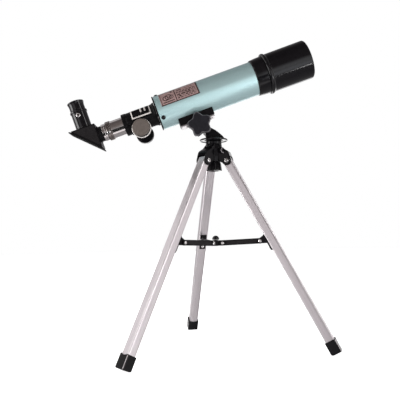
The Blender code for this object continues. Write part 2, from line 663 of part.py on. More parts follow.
def make_hub(root, leg_frames):
    column = [
        (12.6, HUB_TOP), (12.2, 312), (13.2, 305), (13.4, 292), (12.4, HUB_BOTTOM),
        (SPINDLE_RADIUS + 0.4, HUB_BOTTOM), (SPINDLE_RADIUS + 0.4, HUB_TOP),
    ]
    hub = turned("hub_casting", column, "gloss_black", root, segments=MEDIUM, ring=True)
    pivot_r, pivot_z = LEG_PIVOT
    arm = [(9, 311.5), (12.0, 308.0), (14.8, 305.0), (19.5, 302.4), (24.0, 299.8), (25.4, 297.0), (27.0, 292.0)]
    arm += arc(LEG_PIVOT, 7.2, 20, -150, 9) + [(12.4, 283.6), (9, 285)]
    slot_radius = 8.0
    mouth = math.degrees(math.asin(7.3 / slot_radius))
    edge = arc(LEG_PIVOT, slot_radius, mouth, 180, 9)
    slot = [(pivot_r + 16, pivot_z - 16), (pivot_r + 16, edge[0][1])] + edge
    slot += [(edge[-1][0], pivot_z - 16)]
    arm_width, slot_width = 2 * HUB_ARM_HALF_WIDTH, LEG_WIDTH + 2 * GAP
    for name, frame in leg_frames.items():
        piece = plate(f"hub_arm_{name}", [arm], arm_width, None, frame, rotation=OUTLINE_IN_XZ)
        weld_on(hub, piece)
    boss = rod("set_screw_boss", 4.4, 8, 18.2, None, root, (0, 0, SET_SCREW_HEIGHT), set_screw_turn(), SMALL)
    weld_on(hub, boss)
    for name, frame in leg_frames.items():
        opening = plate(f"hub_slot_{name}", [slot], slot_width, None, frame, rotation=OUTLINE_IN_XZ)
        combine(hub, opening)
        drill(hub, 1.9, -20, 20, (pivot_r, 0, pivot_z), ALONG_Y, frame)
    drill(hub, SPINDLE_RADIUS + 0.4, 270, 330)
    drill(hub, 2.4, 3, 25, (0, 0, SET_SCREW_HEIGHT), set_screw_turn())


def set_screw_turn():
    """The turn that takes +Z to the set screw's azimuth."""
    return (0, math.pi / 2, math.radians(SET_SCREW_AZIMUTH))


def make_set_screw(axis):
    profile = [(0, 14.6), (1.2, 14.6), (1.2, 17.6), (2.1, 17.4), (2.1, 4.6), (0, 4.6)]
    turned("hub_set_screw", profile, "screw_steel", axis, segments=TINY)


def make_leg(name, pivot):
    """A leg hangs down its own -Z from the pivot. +X is its outer face."""
    outline = rounded_box(LEG_DEPTH / 2, LEG_WIDTH / 2, 2.2)
    inside = rounded_box(LEG_DEPTH / 2 - LEG_WALL, LEG_WIDTH / 2 - LEG_WALL, 1.2, 2)
    foot = -(LEG_LENGTH - 3.3)
    leg = plate(f"leg_{name}", [outline, inside], LEG_TOP - foot, "leg_aluminium", pivot,
                (0, 0, (LEG_TOP + foot) / 2))
    drill(leg, 1.9, -12, 12, rotation=ALONG_Y)
    plug_outline = rounded_box(LEG_DEPTH / 2 - LEG_WALL - GAP, LEG_WIDTH / 2 - LEG_WALL - GAP, 1.0, 2)
    plug = plate(f"leg_plug_{name}", [plug_outline], 17, "satin_black", pivot, (0, 0, LEG_TOP - 0.5 - 8.5))
    drill(plug, 1.9, -12, 12, rotation=ALONG_Y)
    cap_outline = rounded_box(LEG_DEPTH / 2 + 1.5, LEG_WIDTH / 2 + 1.5, 2.8, 3)
    cap = plate(f"foot_cap_{name}", [cap_outline], CAP_LENGTH, "gloss_black", pivot,
                (0, 0, -LEG_LENGTH + CAP_LENGTH / 2))
    round_edges(cap, 0.7)
    socket_outline = rounded_box(LEG_DEPTH / 2 + GAP, LEG_WIDTH / 2 + GAP, 2.3, 3)
    socket = plate(f"cap_socket_{name}", [socket_outline], 40, None, pivot, (0, 0, foot - GAP + 20))
    combine(cap, socket)
    floor = block(f"floor_{name}", (100, -60, -30), (230, 60, 0), None, pivot.parent)
    combine(cap, floor)


def make_leg_pin(name, frame):
    head = HUB_ARM_HALF_WIDTH + GAP
    profile = [
        (0, head + 1.6), (2.0, head + 1.3), (3.4, head), (1.6, head), (1.6, -head), (3.4, -head),
        (2.0, -head - 1.3), (0, -head - 1.6),
    ]
    turned(f"leg_pin_{name}", profile, "screw_steel", frame, (LEG_PIVOT[0], 0, LEG_PIVOT[1]), ALONG_Y, TINY)


def in_leg_frame(point):
    """A point given by radius and height, as the leg's own x and z."""
    run, rise = point[0] - LEG_PIVOT[0], point[1] - LEG_PIVOT[1]
    across = run * math.cos(LEG_SPLAY) + rise * math.sin(LEG_SPLAY)
    return across, -run * math.sin(LEG_SPLAY) + rise * math.cos(LEG_SPLAY)


def make_bracket(name, pivot):
    """A strap along the leg's inner face, whose ear and stud carry the link."""
    strap_top = -LEG_DEPTH / 2 - GAP
    ear_x, ear_z = in_leg_frame(LINK_OUTER)
    strap = block(f"leg_bracket_{name}", (strap_top - 2, -5, ear_z - 20.9), (strap_top, 5, ear_z + 5.1),
                  "satin_black", pivot)
    ear_outline = [(strap_top - 1, ear_z + 5.1)] + arc((ear_x, ear_z), 4.3, 70, 270, 7)
    ear_outline += [(strap_top - 1, ear_z - 9)]
    low, high = EAR_SIDE
    beside = (0, (low + high) / 2, 0)
    ear = plate(f"ear_{name}", [ear_outline], high - low, None, pivot, beside, OUTLINE_IN_XZ)
    weld_on(strap, ear)
    end = LINK_SIDE[1] + GAP
    stud_profile = [
        (0, end + 1.0), (1.6, end + 0.8), (2.6, end), (1.5, end), (1.5, low + 0.5), (0, low + 0.5),
    ]
    stud = turned(f"stud_{name}", stud_profile, None, pivot, (ear_x, 0, ear_z), ALONG_Y, TINY)
    weld_on(strap, stud)
    rivet_profile = [(0, 3.0), (1.6, 2.8), (2.6, 1.9), (2.6, 1.0), (0, 1.0)]
    rivet = turned(f"strap_rivet_{name}", rivet_profile, None, pivot, (strap_top, 0, ear_z - 16.4),
                   (0, -math.pi / 2, 0), TINY)
    weld_on(strap, rivet)


def make_link(name, axis, length):
    """A link runs from its outer pivot, the axis, along its own +X to the spreader hub."""
    low, high = LINK_SIDE
    half = LINK_HEIGHT / 2
    outline = arc((length, 0), half, -90, 90, 6) + arc((0, 0), half, 90, 270, 6)
    link = plate(f"spreader_link_{name}", [outline, circle(1.8, TINY)], high - low, "satin_black", axis,
                 (0, -(low + high) / 2, 0), OUTLINE_IN_XZ)
    head_profile = [(0, 1.0), (1.6, 0.8), (2.6, 0.2), (2.6, -0.8), (0, -0.8)]
    head = turned(f"link_head_{name}", head_profile, None, axis, (length, -high, 0), TO_NEAR_SIDE, TINY)
    weld_on(link, head)


def make_spreader_hub(slide, azimuths):
    """Three lugs about a small core, each beside one link."""
    hub = rod("spreader_hub", 3.5, -4.4, 4.8, "satin_black", slide, segments=SMALL)
    half = LINK_HEIGHT / 2
    outline = arc((LINK_INNER[0], 0), half, -90, 90, 6) + [(-1, half), (-1, -half)]
    low, high = 1.0, EAR_SIDE[1]
    beside = (0, (low + high) / 2, 0)
    for name, azimuth in azimuths.items():
        turn = empty(f"lug_turn_{name}", slide, rotation=(0, 0, math.radians(azimuth)))
        lug = plate(f"lug_{name}", [outline], high - low, None, turn, beside, OUTLINE_IN_XZ)
        weld_on(hub, lug)
    profile = [(0, 11.2), (2.4, 10.8), (4.4, 9.2), (5.4, 6.8), (5.2, 5.2), (0, 5.2)]
    turned("spreader_knob", profile, "gloss_black", slide, segments=SMALL)


def main():
    root = empty(NAME, location=(-FOOTPRINT_MIDDLE[0], -FOOTPRINT_MIDDLE[1], 0))
    pan = empty("pan_axis", root)
    tilt = empty("tilt_axis", pan, (TILT_AXIS[0], 0, TILT_AXIS[1]), (0, -TUBE_ELEVATION, 0))
    optics = empty("optical_axis", tilt, (-TILT_TO_REAR_PLATE, 0, TILT_TO_OPTICAL_AXIS))
    make_main_tube(optics)
    make_rear_plate(optics)
    make_info_panel(optics)
    make_objective(optics)
    make_dew_shield(empty("dew_shield_slide", optics))
    make_housing(optics)
    make_accessory_shoe(optics)
    slide = empty("focus_slide", optics)
    make_draw_tube(slide)
    make_pinion(empty("pinion_axis", optics, (PINION_PLACE[0], 0, PINION_PLACE[1])))
    diagonal = empty("diagonal_turn", slide)
    make_diagonal(diagonal)
    make_eyepiece_holder(diagonal)
    make_eyepiece(empty("eyepiece_slide", diagonal, (EYEPIECE_PLACE, 0, 0)))
    make_saddle(optics)
    make_neck(pan)
    make_tilt_knob(empty("tilt_knob_axis", pan, (TILT_AXIS[0], 0, TILT_AXIS[1])))
    make_pan_parts(root, empty("pan_lock_axis", root, (0, 0, HUB_BOTTOM)))
    frames = {
        name: empty(f"leg_side_{name}", root, rotation=(0, 0, math.radians(azimuth)))
        for name, azimuth in LEG_AZIMUTHS.items()
    }
    make_hub(root, frames)
    make_set_screw(empty("set_screw_axis", root, (0, 0, SET_SCREW_HEIGHT), set_screw_turn()))
    run, rise = LINK_OUTER[0] - LINK_INNER[0], LINK_OUTER[1] - LINK_INNER[1]
    for name, frame in frames.items():
        pivot = empty(f"leg_pivot_{name}", frame, (LEG_PIVOT[0], 0, LEG_PIVOT[1]), (0, -LEG_SPLAY, 0))
        make_leg(name, pivot)
        make_leg_pin(name, frame)
        make_bracket(name, pivot)
        inward = (0, 0, math.pi)
        link_turn = empty(f"link_axis_{name}", frame, (LINK_OUTER[0], 0, LINK_OUTER[1]), inward)
        lean = empty(f"link_lean_{name}", link_turn, rotation=(0, math.atan2(rise, run), 0))
        make_link(name, lean, math.hypot(run, rise))
    make_spreader_hub(empty("spreader_slide", root, (0, 0, LINK_INNER[1])), LEG_AZIMUTHS)


main()
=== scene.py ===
"""The looks of a small refracting telescope on a folding table-top tripod.

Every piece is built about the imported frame, in the axes of the part that it belongs to, and stands for
one CAD node. Sizes in the functions are millimetres and degrees, and the shapes are made in metres.
"""
import json
import math

import bmesh
import bpy
from mathutils import Matrix, Vector


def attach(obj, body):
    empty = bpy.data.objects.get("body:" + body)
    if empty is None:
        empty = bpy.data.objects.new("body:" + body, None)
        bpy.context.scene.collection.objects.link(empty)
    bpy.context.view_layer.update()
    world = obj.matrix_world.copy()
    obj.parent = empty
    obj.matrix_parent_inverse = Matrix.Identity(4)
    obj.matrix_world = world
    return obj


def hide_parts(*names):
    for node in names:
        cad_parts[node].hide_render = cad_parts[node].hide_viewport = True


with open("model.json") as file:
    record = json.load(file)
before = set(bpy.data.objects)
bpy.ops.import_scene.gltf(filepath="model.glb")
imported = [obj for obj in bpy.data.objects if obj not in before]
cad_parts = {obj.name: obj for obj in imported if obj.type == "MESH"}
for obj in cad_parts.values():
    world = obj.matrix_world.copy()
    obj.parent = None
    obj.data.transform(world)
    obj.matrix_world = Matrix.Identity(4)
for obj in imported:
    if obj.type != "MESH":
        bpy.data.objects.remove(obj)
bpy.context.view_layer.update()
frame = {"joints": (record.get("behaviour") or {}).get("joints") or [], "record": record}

MM = 0.001
WIDE = 160  # flats around the tube and what is on its front
ROUND = 128  # flats around another large turned piece
FINE = 64  # flats around a small one
UP = Matrix.Identity(4)
ALONG_X = Matrix.Rotation(math.pi / 2, 4, "Y")
ALONG_Y = Matrix.Rotation(-math.pi / 2, 4, "X")
NEAR = Matrix.Rotation(math.pi / 2, 4, "X")  # +Z of the shape becomes -Y, the near side

record = frame["record"]
BODY = {node: body for body, nodes in record["behaviour"]["bodies"].items() for node in nodes}
JOINT = {joint["name"]: joint for joint in frame["joints"]}


# Driving sizes, the same as the CAD's
TUBE_RADIUS = 26.5
TUBE_BORE = 25.2
TUBE_FRONT = 159.3
CELL_FRONT = 192.0
LENS_SEAT = 176.0
LENS_RADIUS = 25.0
SHIELD_REAR = 178.7
SHIELD_FRONT = 248.6
SHIELD_BORE = 28.4
REAR_SCREWS = (-32, 88, 208)
REAR_SCREW_PLACE = 6.6
DIAGONAL_JOINT = 85.0  # from the rear plate back to the point that the diagonal's joint names
PANEL_LENGTH = (10.0, 71.0)
PANEL_ANGLES = (2, 58)
HOUSING_RADIUS = 17.2
HOUSING_WAIST = 16.7
HOUSING_REAR = -54.8
DRAW_RADIUS = 13.75
DRAW_BORE = 12.2
DRAW_ENDS = (-76.2, 10.0)
COLLAR_SCREW_PLACE = -79.2
COLLAR_SCREW_ANGLE = -19
SHOE_ENDS = (-39.0, -8.4)
SHOE_SIDES = (-8.6, 6.6)
SHOE_GROOVES = (-23.0, -16.4)
SHOE_ANGLE = 25
PINION_PLACE = (-30.0, -18.6)
KNOB_RADIUS = 14.6
KNOB_FACES = (23.5, 34.0)
EYEPIECE_PLACE = -114.4
PRISM_CORNER = (-96.0, 16.2)
PRISM_SIDE = 42.4
PRISM_HALF_WIDTH = 14.3
PRISM_WALL = 2.0
COVER_THICKNESS = 2.4
HOLDER_RADIUS = 12.35
HOLDER_BORE = 11.3
HOLDER_TOP = 45.8
HOLDER_SCREW_HEIGHT = 36.4
EYEPIECE_TOP = 60.6
SADDLE_ENDS = (26.5, 82.0)
SADDLE_HALF_WIDTH = 15.0
SADDLE_BOTTOM = -33.0
SADDLE_SCREWS = (38.0, 75.0)
TILT_IN_TUBE = (54.44, -42.68)
TILT_IN_NECK = (-21.0, 339.5)
TONGUE_RADIUS = 6.4
TONGUE_HALF_WIDTH = 4.0
NECK_HALF_WIDTH = 10.0
NECK_FOOT = 320.1
TILT_KNOB_RADIUS = 19.2
TILT_KNOB_SWING = 2.4
TILT_KNOB_FACES = (16.3, 28.0)
DISC_RADIUS = 21.75
SPINDLE_RADIUS = 4.0
HUB_TOP = 316.7
HUB_BOTTOM = 284.2
LOCK_NUT_ENDS = (270.8, 283.8)
HUB_BOSS_END = 20.6
SET_SCREW_HEIGHT = 300.6
SET_SCREW_AZIMUTH = -50
LEG_PIVOT = (21.7, 284.9)
FOOT_MIDDLE = (174.8, 2.3)
LEG_WIDTH = 14.5
LEG_DEPTH = 13.5
LEG_WALL = 1.3
LEG_TOP = 3.5
CAP_LENGTH = 19.9
CAP_WALL = 1.6
HUB_ARM_HALF_WIDTH = 10.5
LINK_OUTER = (68.0, 162.5)
LINK_INNER = (10.0, 160.0)
LINK_HEIGHT = 8.3
EAR_SIDE = (1.3, 3.5)
LINK_SIDE = (3.8, 6.2)


# Places, from the frame

def axes(origin, along_x, along_y):
    """A set of axes at origin, with X and Y as near as can be to those given."""
    x = Vector(along_x).normalized()
    z = x.cross(Vector(along_y)).normalized()
    turn = Matrix((x, z.cross(x), z)).transposed().to_4x4()
    return Matrix.Translation(origin) @ turn


def moved(place, x=0.0, y=0.0, z=0.0):
    """A set of axes, moved along its own axes by these millimetres."""
    return place @ Matrix.Translation((x * MM, y * MM, z * MM))


def seen_from(place, other):
    """One set of axes as a turn and a shift in another."""
    relative = place.inverted() @ other
    return relative.to_3x3().to_4x4(), relative.translation / MM


def joint_place(name):
    return Vector(JOINT[name]["pos_m"])


def joint_axis(name):
    return Vector(JOINT[name]["axis"])


def in_leg_frame(point):
    """A point given by radius and height, as the leg's own x and z."""
    run, rise = point[0] - LEG_PIVOT[0], point[1] - LEG_PIVOT[1]
    across = run * math.cos(LEG_SPLAY) + rise * math.sin(LEG_SPLAY)
    return across, -run * math.sin(LEG_SPLAY) + rise * math.cos(LEG_SPLAY)


tube_axis = joint_axis("shield_slide")
OPTICS = axes(joint_place("diagonal_turn") + tube_axis * DIAGONAL_JOINT * MM, tube_axis, (0, 1, 0))
EYEPIECE = moved(OPTICS, EYEPIECE_PLACE)
PAN = Matrix.Translation((joint_place("pan").x, joint_place("pan").y, 0))
TILT = Matrix.Translation((joint_place("tilt").x, joint_place("pan").y, joint_place("tilt").z))
SET_SCREW = (0, 0, SET_SCREW_HEIGHT)
SET_SCREW_TURN = Matrix.Rotation(math.radians(SET_SCREW_AZIMUTH), 4, "Z") @ ALONG_X

leg_run = FOOT_MIDDLE[0] - LEG_PIVOT[0]
leg_drop = LEG_PIVOT[1] - FOOT_MIDDLE[1]
LEG_LENGTH = math.hypot(leg_run, leg_drop)
LEG_SPLAY = math.atan2(leg_run, leg_drop)
LEGS = ("right", "left", "rear")
SIDE, FACING, PIVOT, LEG = {}, {}, {}, {}
for leg in LEGS:
    hinge = joint_axis(f"leg_{leg}_fold")
    SIDE[leg] = PAN @ axes((0, 0, 0), hinge.cross((0, 0, 1)), hinge)
    FACING[leg] = seen_from(PAN, SIDE[leg])[0]
    PIVOT[leg] = moved(SIDE[leg], LEG_PIVOT[0], 0, LEG_PIVOT[1])
    LEG[leg] = PIVOT[leg] @ Matrix.Rotation(-LEG_SPLAY, 4, "Y")


# Shapes

def rounded(points, rounding, closed):
    """An outline with its corners turned into short curves. A point may give a rounding of its own."""
    line = []
    count = len(points)
    for i, point in enumerate(points):
        corner = Vector(point[:2])
        size = point[2] if len(point) > 2 else rounding
        if not size or (not closed and i in (0, count - 1)):
            line.append(corner)
            continue
        before = Vector(points[i - 1][:2]) - corner
        after = Vector(points[(i + 1) % count][:2]) - corner
        turn = math.pi - before.angle(after)
        if turn < math.radians(9):
            line.append(corner)
            continue
        reach = min(size * math.tan(turn / 2), 0.46 * before.length, 0.46 * after.length)
        start, end = corner + before.normalized() * reach, corner + after.normalized() * reach
        steps = max(2, round(math.degrees(turn) / 18))
        for k in range(steps + 1):
            t = k / steps
            line.append(start.lerp(corner, t).lerp(corner.lerp(end, t), t))
    return line


def arc(middle, radius, start, end, steps):
    angles = [math.radians(start + (end - start) * i / steps) for i in range(steps + 1)]
    return [(middle[0] + radius * math.cos(a), middle[1] + radius * math.sin(a)) for a in angles]


def circle(radius, steps=FINE):
    return arc((0, 0), radius, 0, 360 - 360 / steps, steps - 1)


def rectangle(x, y, other_x, other_y):
    return [(x, y), (other_x, y), (other_x, other_y), (x, other_y)]


def box_outline(half_x, half_y, radius):
    corners = [(sx * half_x, sy * half_y) for sx, sy in ((1, 1), (-1, 1), (-1, -1), (1, -1))]
    return rounded(corners, radius, True)


def lobed(middle_radius, swing, lobes, first_angle, steps):
    """A wavy round outline, with its lobes counted from first_angle in degrees."""
    points = []
    for i in range(steps):
        angle = 2 * math.pi * i / steps
        radius = middle_radius + swing * math.cos(lobes * (angle - math.radians(first_angle)))
        points.append((radius * math.cos(angle), radius * math.sin(angle)))
    return points


def sleeve(radius, bore, start, end):
    """The profile of a plain tube."""
    return [(radius, start), (radius, end), (bore, end), (bore, start)]


def shape_object(shape, turn=UP, at=(0, 0, 0)):
    """A mesh object from a bmesh in millimetres, turned and moved in its own axes."""
    bmesh.ops.transform(shape, matrix=Matrix.Diagonal((MM, MM, MM, 1)), verts=shape.verts)
    bmesh.ops.transform(shape, matrix=Matrix.Translation(Vector(at) * MM) @ turn, verts=shape.verts)
    bmesh.ops.recalc_face_normals(shape, faces=shape.faces)
    mesh = bpy.data.meshes.new("shape")
    shape.to_mesh(mesh)
    shape.free()
    obj = bpy.data.objects.new("shape", mesh)
    bpy.context.scene.collection.objects.link(obj)
    return obj


def lathe(profile, turn=UP, at=(0, 0, 0), ring=False, steps=ROUND, rounding=0.25):
    """A turned shape about Z. The profile lists radius and height, and closes on itself if it is a ring."""
    shape = bmesh.new()
    rings = []
    for radius, height in rounded(profile, rounding, ring):
        if radius < 1e-6:
            rings.append([shape.verts.new((0, 0, height))])
            continue
        angles = [2 * math.pi * i / steps for i in range(steps)]
        rings.append([shape.verts.new((radius * math.cos(a), radius * math.sin(a), height)) for a in angles])
    for one, other in zip(rings, rings[1:] + rings[:1] if ring else rings[1:]):
        for i in range(steps):
            j = (i + 1) % steps
            corners = (one[i % len(one)], one[j % len(one)], other[j % len(other)], other[i % len(other)])
            shape.faces.new(list(dict.fromkeys(corners)))
    return shape_object(shape, turn, at)


def slab(outlines, thickness, rounding=0.3, turn=UP, at=(0, 0, 0), segments=3):
    """A flat outline with any holes in it, given a thickness about its plane and soft rims."""
    curve = bpy.data.curves.new("outline", "CURVE")
    curve.dimensions = "2D"
    curve.fill_mode = "BOTH"
    curve.extrude = thickness / 2
    for outline in outlines:
        spline = curve.splines.new("POLY")
        spline.points.add(len(outline) - 1)
        spline.use_cyclic_u = True
        for point, (x, y) in zip(spline.points, outline):
            point.co = (x, y, 0, 1)
    flat = bpy.data.objects.new("outline", curve)
    bpy.context.scene.collection.objects.link(flat)
    mesh = bpy.data.meshes.new_from_object(flat.evaluated_get(bpy.context.evaluated_depsgraph_get()))
    bpy.data.objects.remove(flat)
    shape = bmesh.new()
    shape.from_mesh(mesh)
    bmesh.ops.remove_doubles(shape, verts=shape.verts, dist=1e-4)
    bmesh.ops.dissolve_limit(shape, angle_limit=1e-3, verts=shape.verts, edges=shape.edges)
    if rounding:
        rims = [e for e in shape.edges if len(e.link_faces) == 2 and e.calc_face_angle(0) > math.radians(60)
                and abs(e.verts[0].co.z - e.verts[1].co.z) < 1e-4]
        bmesh.ops.bevel(shape, geom=rims, offset=rounding, segments=segments, profile=0.5, affect="EDGES",
                        clamp_overlap=True)
    return shape_object(shape, turn, at)


def bridge(shape, one, other):
    """Faces between two rings of as many points."""
    for i in range(len(one)):
        j = (i + 1) % len(one)
        shape.faces.new((one[i], one[j], other[j], other[i]))


def loft(layers, turn=UP, at=(0, 0, 0)):
    """A solid through outlines at rising heights, each with the same number of points."""
    shape = bmesh.new()
    rings = [[shape.verts.new((x, y, height)) for x, y in outline] for height, outline in layers]
    for one, other in zip(rings, rings[1:]):
        bridge(shape, one, other)
    shape.faces.new(rings[0][::-1])
    shape.faces.new(rings[-1])
    return shape_object(shape, turn, at)


def block(low, high, rounding=0.4, turn=UP, at=(0, 0, 0)):
    """A box between two corners, with soft edges."""
    half_x, half_y = (high[0] - low[0]) / 2, (high[1] - low[1]) / 2
    middle = [(a + b) / 2 for a, b in zip(low, high)]
    shift = turn @ Vector(middle)
    outline = box_outline(half_x, half_y, rounding)
    return slab([outline], high[2] - low[2], rounding, turn, Vector(at) + shift)


def rod(radius, start, end, turn=UP, at=(0, 0, 0), steps=FINE, rounding=0.0):
    return lathe([(0, end), (radius, end), (radius, start), (0, start)], turn, at, False, steps, rounding)


def cross_recess(width, length, depth, top, turn=UP, at=(0, 0, 0)):
    """Cutters for the cross in a screw's head."""
    cutters = []
    for x, y in ((length / 2, width / 2), (width / 2, length / 2)):
        layers = [(top - depth, box_outline(x * 0.6, y * 0.6, 0)), (top + 0.5, box_outline(x, y, 0))]
        cutters.append(loft(layers, turn, at))
    return cutters


def hex_recess(across, depth, top, turn=UP, at=(0, 0, 0)):
    outline = circle(across / math.sqrt(3), 6)
    return loft([(top - depth, outline), (top + 0.5, outline)], turn, at)


def bake(obj):
    """Applies an object's modifiers."""
    mesh = bpy.data.meshes.new_from_object(obj.evaluated_get(bpy.context.evaluated_depsgraph_get()))
    obj.modifiers.clear()
    mesh.materials.clear()
    mesh.polygons.foreach_set("material_index", [0] * len(mesh.polygons))
    obj.data = mesh
    return obj


def combine(target, others, operation):
    for other in others:
        boolean = target.modifiers.new("Combine", "BOOLEAN")
        boolean.operation = operation
        boolean.solver = "MANIFOLD"
        boolean.object = other
    bake(target)
    for other in others:
        bpy.data.objects.remove(other)
    return target


def cut(target, *others):
    return combine(target, others, "DIFFERENCE")


def join(target, *others):
    return combine(target, others, "UNION")


def cast(obj, voxel, rounds):
    """Gives a joined shape the soft corners of a casting."""
    remesh = obj.modifiers.new("Remesh", "REMESH")
    remesh.mode = "VOXEL"
    remesh.voxel_size = voxel * MM
    soft = obj.modifiers.new("Soft", "SMOOTH")
    soft.factor = 0.5
    soft.iterations = rounds
    return bake(obj)


# Pieces for nodes

def around_tube(angle):
    """The turn about X that takes +Z to this many degrees above the near side, -Y."""
    return Matrix.Rotation(math.radians(90 - angle), 4, "X")


def off_axis(point, axis="X"):
    """How far a point is from an axis of its piece."""
    return math.hypot(*(value for value, name in zip(point, "XYZ") if name != axis))


def near_axis(radius, axis="X"):
    """A test for the faces nearer than this to an axis of the piece."""
    return lambda point, normal: off_axis(point, axis) < radius


def show(obj, node, place, *finishes, where=(), angle=32, weighted=True):
    """Shows a shape in place of a CAD node, on that node's body.

    The tests in where say which faces take the second finish and those after it.
    """
    obj.name = obj.data.name = f"{node}_detail"
    obj.matrix_world = place
    for finish in finishes:
        obj.data.materials.append(finish)
    for face in obj.data.polygons:
        for number, test in enumerate(where, 1):
            if test(face.center / MM, face.normal):
                face.material_index = number
    obj.data.shade_smooth()
    obj.data.set_sharp_from_angle(angle=math.radians(angle))
    if weighted:
        normals = obj.modifiers.new("Normals", "WEIGHTED_NORMAL")
        normals.keep_sharp = True
    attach(obj, BODY[node])
    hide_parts(node)


def refinish(node, material):
    """Gives a CAD node a better material in each of its slots."""
    for slot in bpy.data.objects[node].material_slots:
        slot.material = material


# Materials

class Nodes:
    """Short ways to make and wire shader nodes."""

    def __init__(self, tree):
        self.tree = tree

    def node(self, kind, inputs=None, **settings):
        node = self.tree.nodes.new(f"ShaderNode{kind}")
        for name, value in settings.items():
            setattr(node, name, value)
        self.feed(node, inputs or {})
        return node

    def feed(self, node, inputs):
        for name, value in inputs.items():
            if isinstance(value, bpy.types.NodeSocket):
                self.tree.links.new(value, node.inputs[name])
            else:
                node.inputs[name].default_value = value

    def math(self, operation, *values, clamp=False):
        node = self.node("Math", dict(enumerate(values)), operation=operation, use_clamp=clamp)
        return node.outputs["Value"]

    def spread(self, value, start, end, low=0.0, high=1.0, smooth=False):
        """Takes a value's range from start to end onto the range from low to high."""
        limits = {"Value": value, "From Min": start, "From Max": end, "To Min": low, "To Max": high}
        kind = "SMOOTHSTEP" if smooth else "LINEAR"
        return self.node("MapRange", limits, interpolation_type=kind).outputs["Result"]

    def blend(self, amount, one, other):
        """The first colour where the amount is 0 and the other where it is 1."""
        node = self.node("Mix", data_type="RGBA")
        for socket, value in zip((node.inputs[0], node.inputs[6], node.inputs[7]), (amount, one, other)):
            if isinstance(value, bpy.types.NodeSocket):
                self.tree.links.new(value, socket)
            else:
                socket.default_value = value if isinstance(value, float) else (*value, 1)
        return node.outputs[2]


class Finish(Nodes):
    """A material whose detail is laid out in the piece's own axes."""

    def __init__(self, name, colour, roughness, metallic=0.0, sockets=None):
        self.material = bpy.data.materials.new(name)
        self.material.use_nodes = True
        self.material.diffuse_color = (*colour, 1)
        super().__init__(self.material.node_tree)
        self.shader = self.tree.nodes["Principled BSDF"]
        basic = {"Base Color": (*colour, 1), "Roughness": roughness, "Metallic": metallic}
        self.feed(self.shader, basic | (sockets or {}))
        self.coordinates = self.node("TexCoord")

    def noise(self, size, stretch=(1, 1, 1), detail=2.0):
        """Noise with lumps of about this many millimetres."""
        place = self.node("Mapping", {"Vector": self.coordinates.outputs["Object"], "Scale": stretch})
        scale = 1 / (size * MM)
        return self.node("TexNoise", {"Vector": place.outputs["Vector"], "Scale": scale, "Detail": detail}
                         ).outputs["Fac"]

    def roughness(self, pattern, low, high):
        self.feed(self.shader, {"Roughness": self.spread(pattern, 0.3, 0.7, low, high)})

    def colour(self, pattern, one, other):
        self.feed(self.shader, {"Base Color": self.blend(self.spread(pattern, 0.3, 0.7), one, other)})

    def bump(self, height, depth, strength=1.0):
        bump = self.node("Bump", {"Height": height, "Distance": depth * MM, "Strength": strength})
        self.feed(self.shader, {"Normal": bump.outputs["Normal"]})

    def rings(self, axis, spacing):
        """Turning marks about an axis of the piece, on its flats and along its sides."""
        place = self.node("SeparateXYZ", {"Vector": self.coordinates.outputs["Object"]})
        across = [place.outputs[name] for name in "XYZ" if name != axis]
        squares = [self.math("MULTIPLY", value, value) for value in across]
        radius = self.math("SQRT", self.math("ADD", *squares))
        along = self.math("ADD", radius, place.outputs[axis])
        wave = self.math("SINE", self.math("MULTIPLY", along, 2 * math.pi / (spacing * MM)))
        uneven = self.node("TexNoise", {"W": along, "Scale": 0.35 / (spacing * MM), "Detail": 3.0},
                           noise_dimensions="1D").outputs["Fac"]
        return self.math("ADD", self.math("MULTIPLY", wave, 0.25), uneven)


def tube_paint():
    """Metallic paint: fine flakes under a clear coat, on a tube that isn't perfectly even."""
    finish = Finish("tube_paint", (0.54, 0.77, 0.78), 0.34, 0.78, {"Coat Weight": 0.5, "Coat Roughness": 0.2})
    flakes = finish.node("TexVoronoi", {"Vector": finish.coordinates.outputs["Object"], "Scale": 3800.0})
    tone = finish.node("RGBToBW", {"Color": flakes.outputs["Color"]}).outputs["Val"]
    finish.colour(tone, (0.51, 0.735, 0.745), (0.585, 0.81, 0.82))
    finish.roughness(finish.noise(14), 0.31, 0.38)
    finish.bump(finish.noise(0.5), 0.012)
    return finish.material


def plastic(name, colour, low, high, grain, depth, shine):
    """Moulded plastic, with its gloss broken by handling and a fine grain."""
    finish = Finish(name, colour, (low + high) / 2, sockets={"Specular IOR Level": shine})
    finish.roughness(finish.noise(9, detail=4.0), low, high)
    lighter = [value * 1.35 + 0.0005 for value in colour]
    finish.colour(finish.noise(5, detail=3.0), colour, lighter)
    finish.bump(finish.noise(grain), depth)
    return finish.material


def turned_metal(name, colour, low, high, axis, spacing, depth, metallic=1.0):
    finish = Finish(name, colour, (low + high) / 2, metallic)
    marks = finish.rings(axis, spacing)
    finish.roughness(marks, low, high)
    finish.colour(finish.noise(7, detail=3.0), colour, [value * 0.93 for value in colour])
    finish.bump(marks, depth)
    return finish.material


def leg_metal():
    """Drawn aluminium: streaks along its length, a few scuffs, and a slightly warm cast."""
    finish = Finish("leg_aluminium", (0.72, 0.68, 0.695), 0.3, 1.0)
    streaks = finish.noise(0.35, (1, 1, 0.006), 3.0)
    finish.roughness(streaks, 0.26, 0.42)
    finish.colour(finish.noise(1.6, (1, 1, 0.02)), (0.68, 0.64, 0.655), (0.75, 0.71, 0.725))
    finish.bump(streaks, 0.01)
    return finish.material


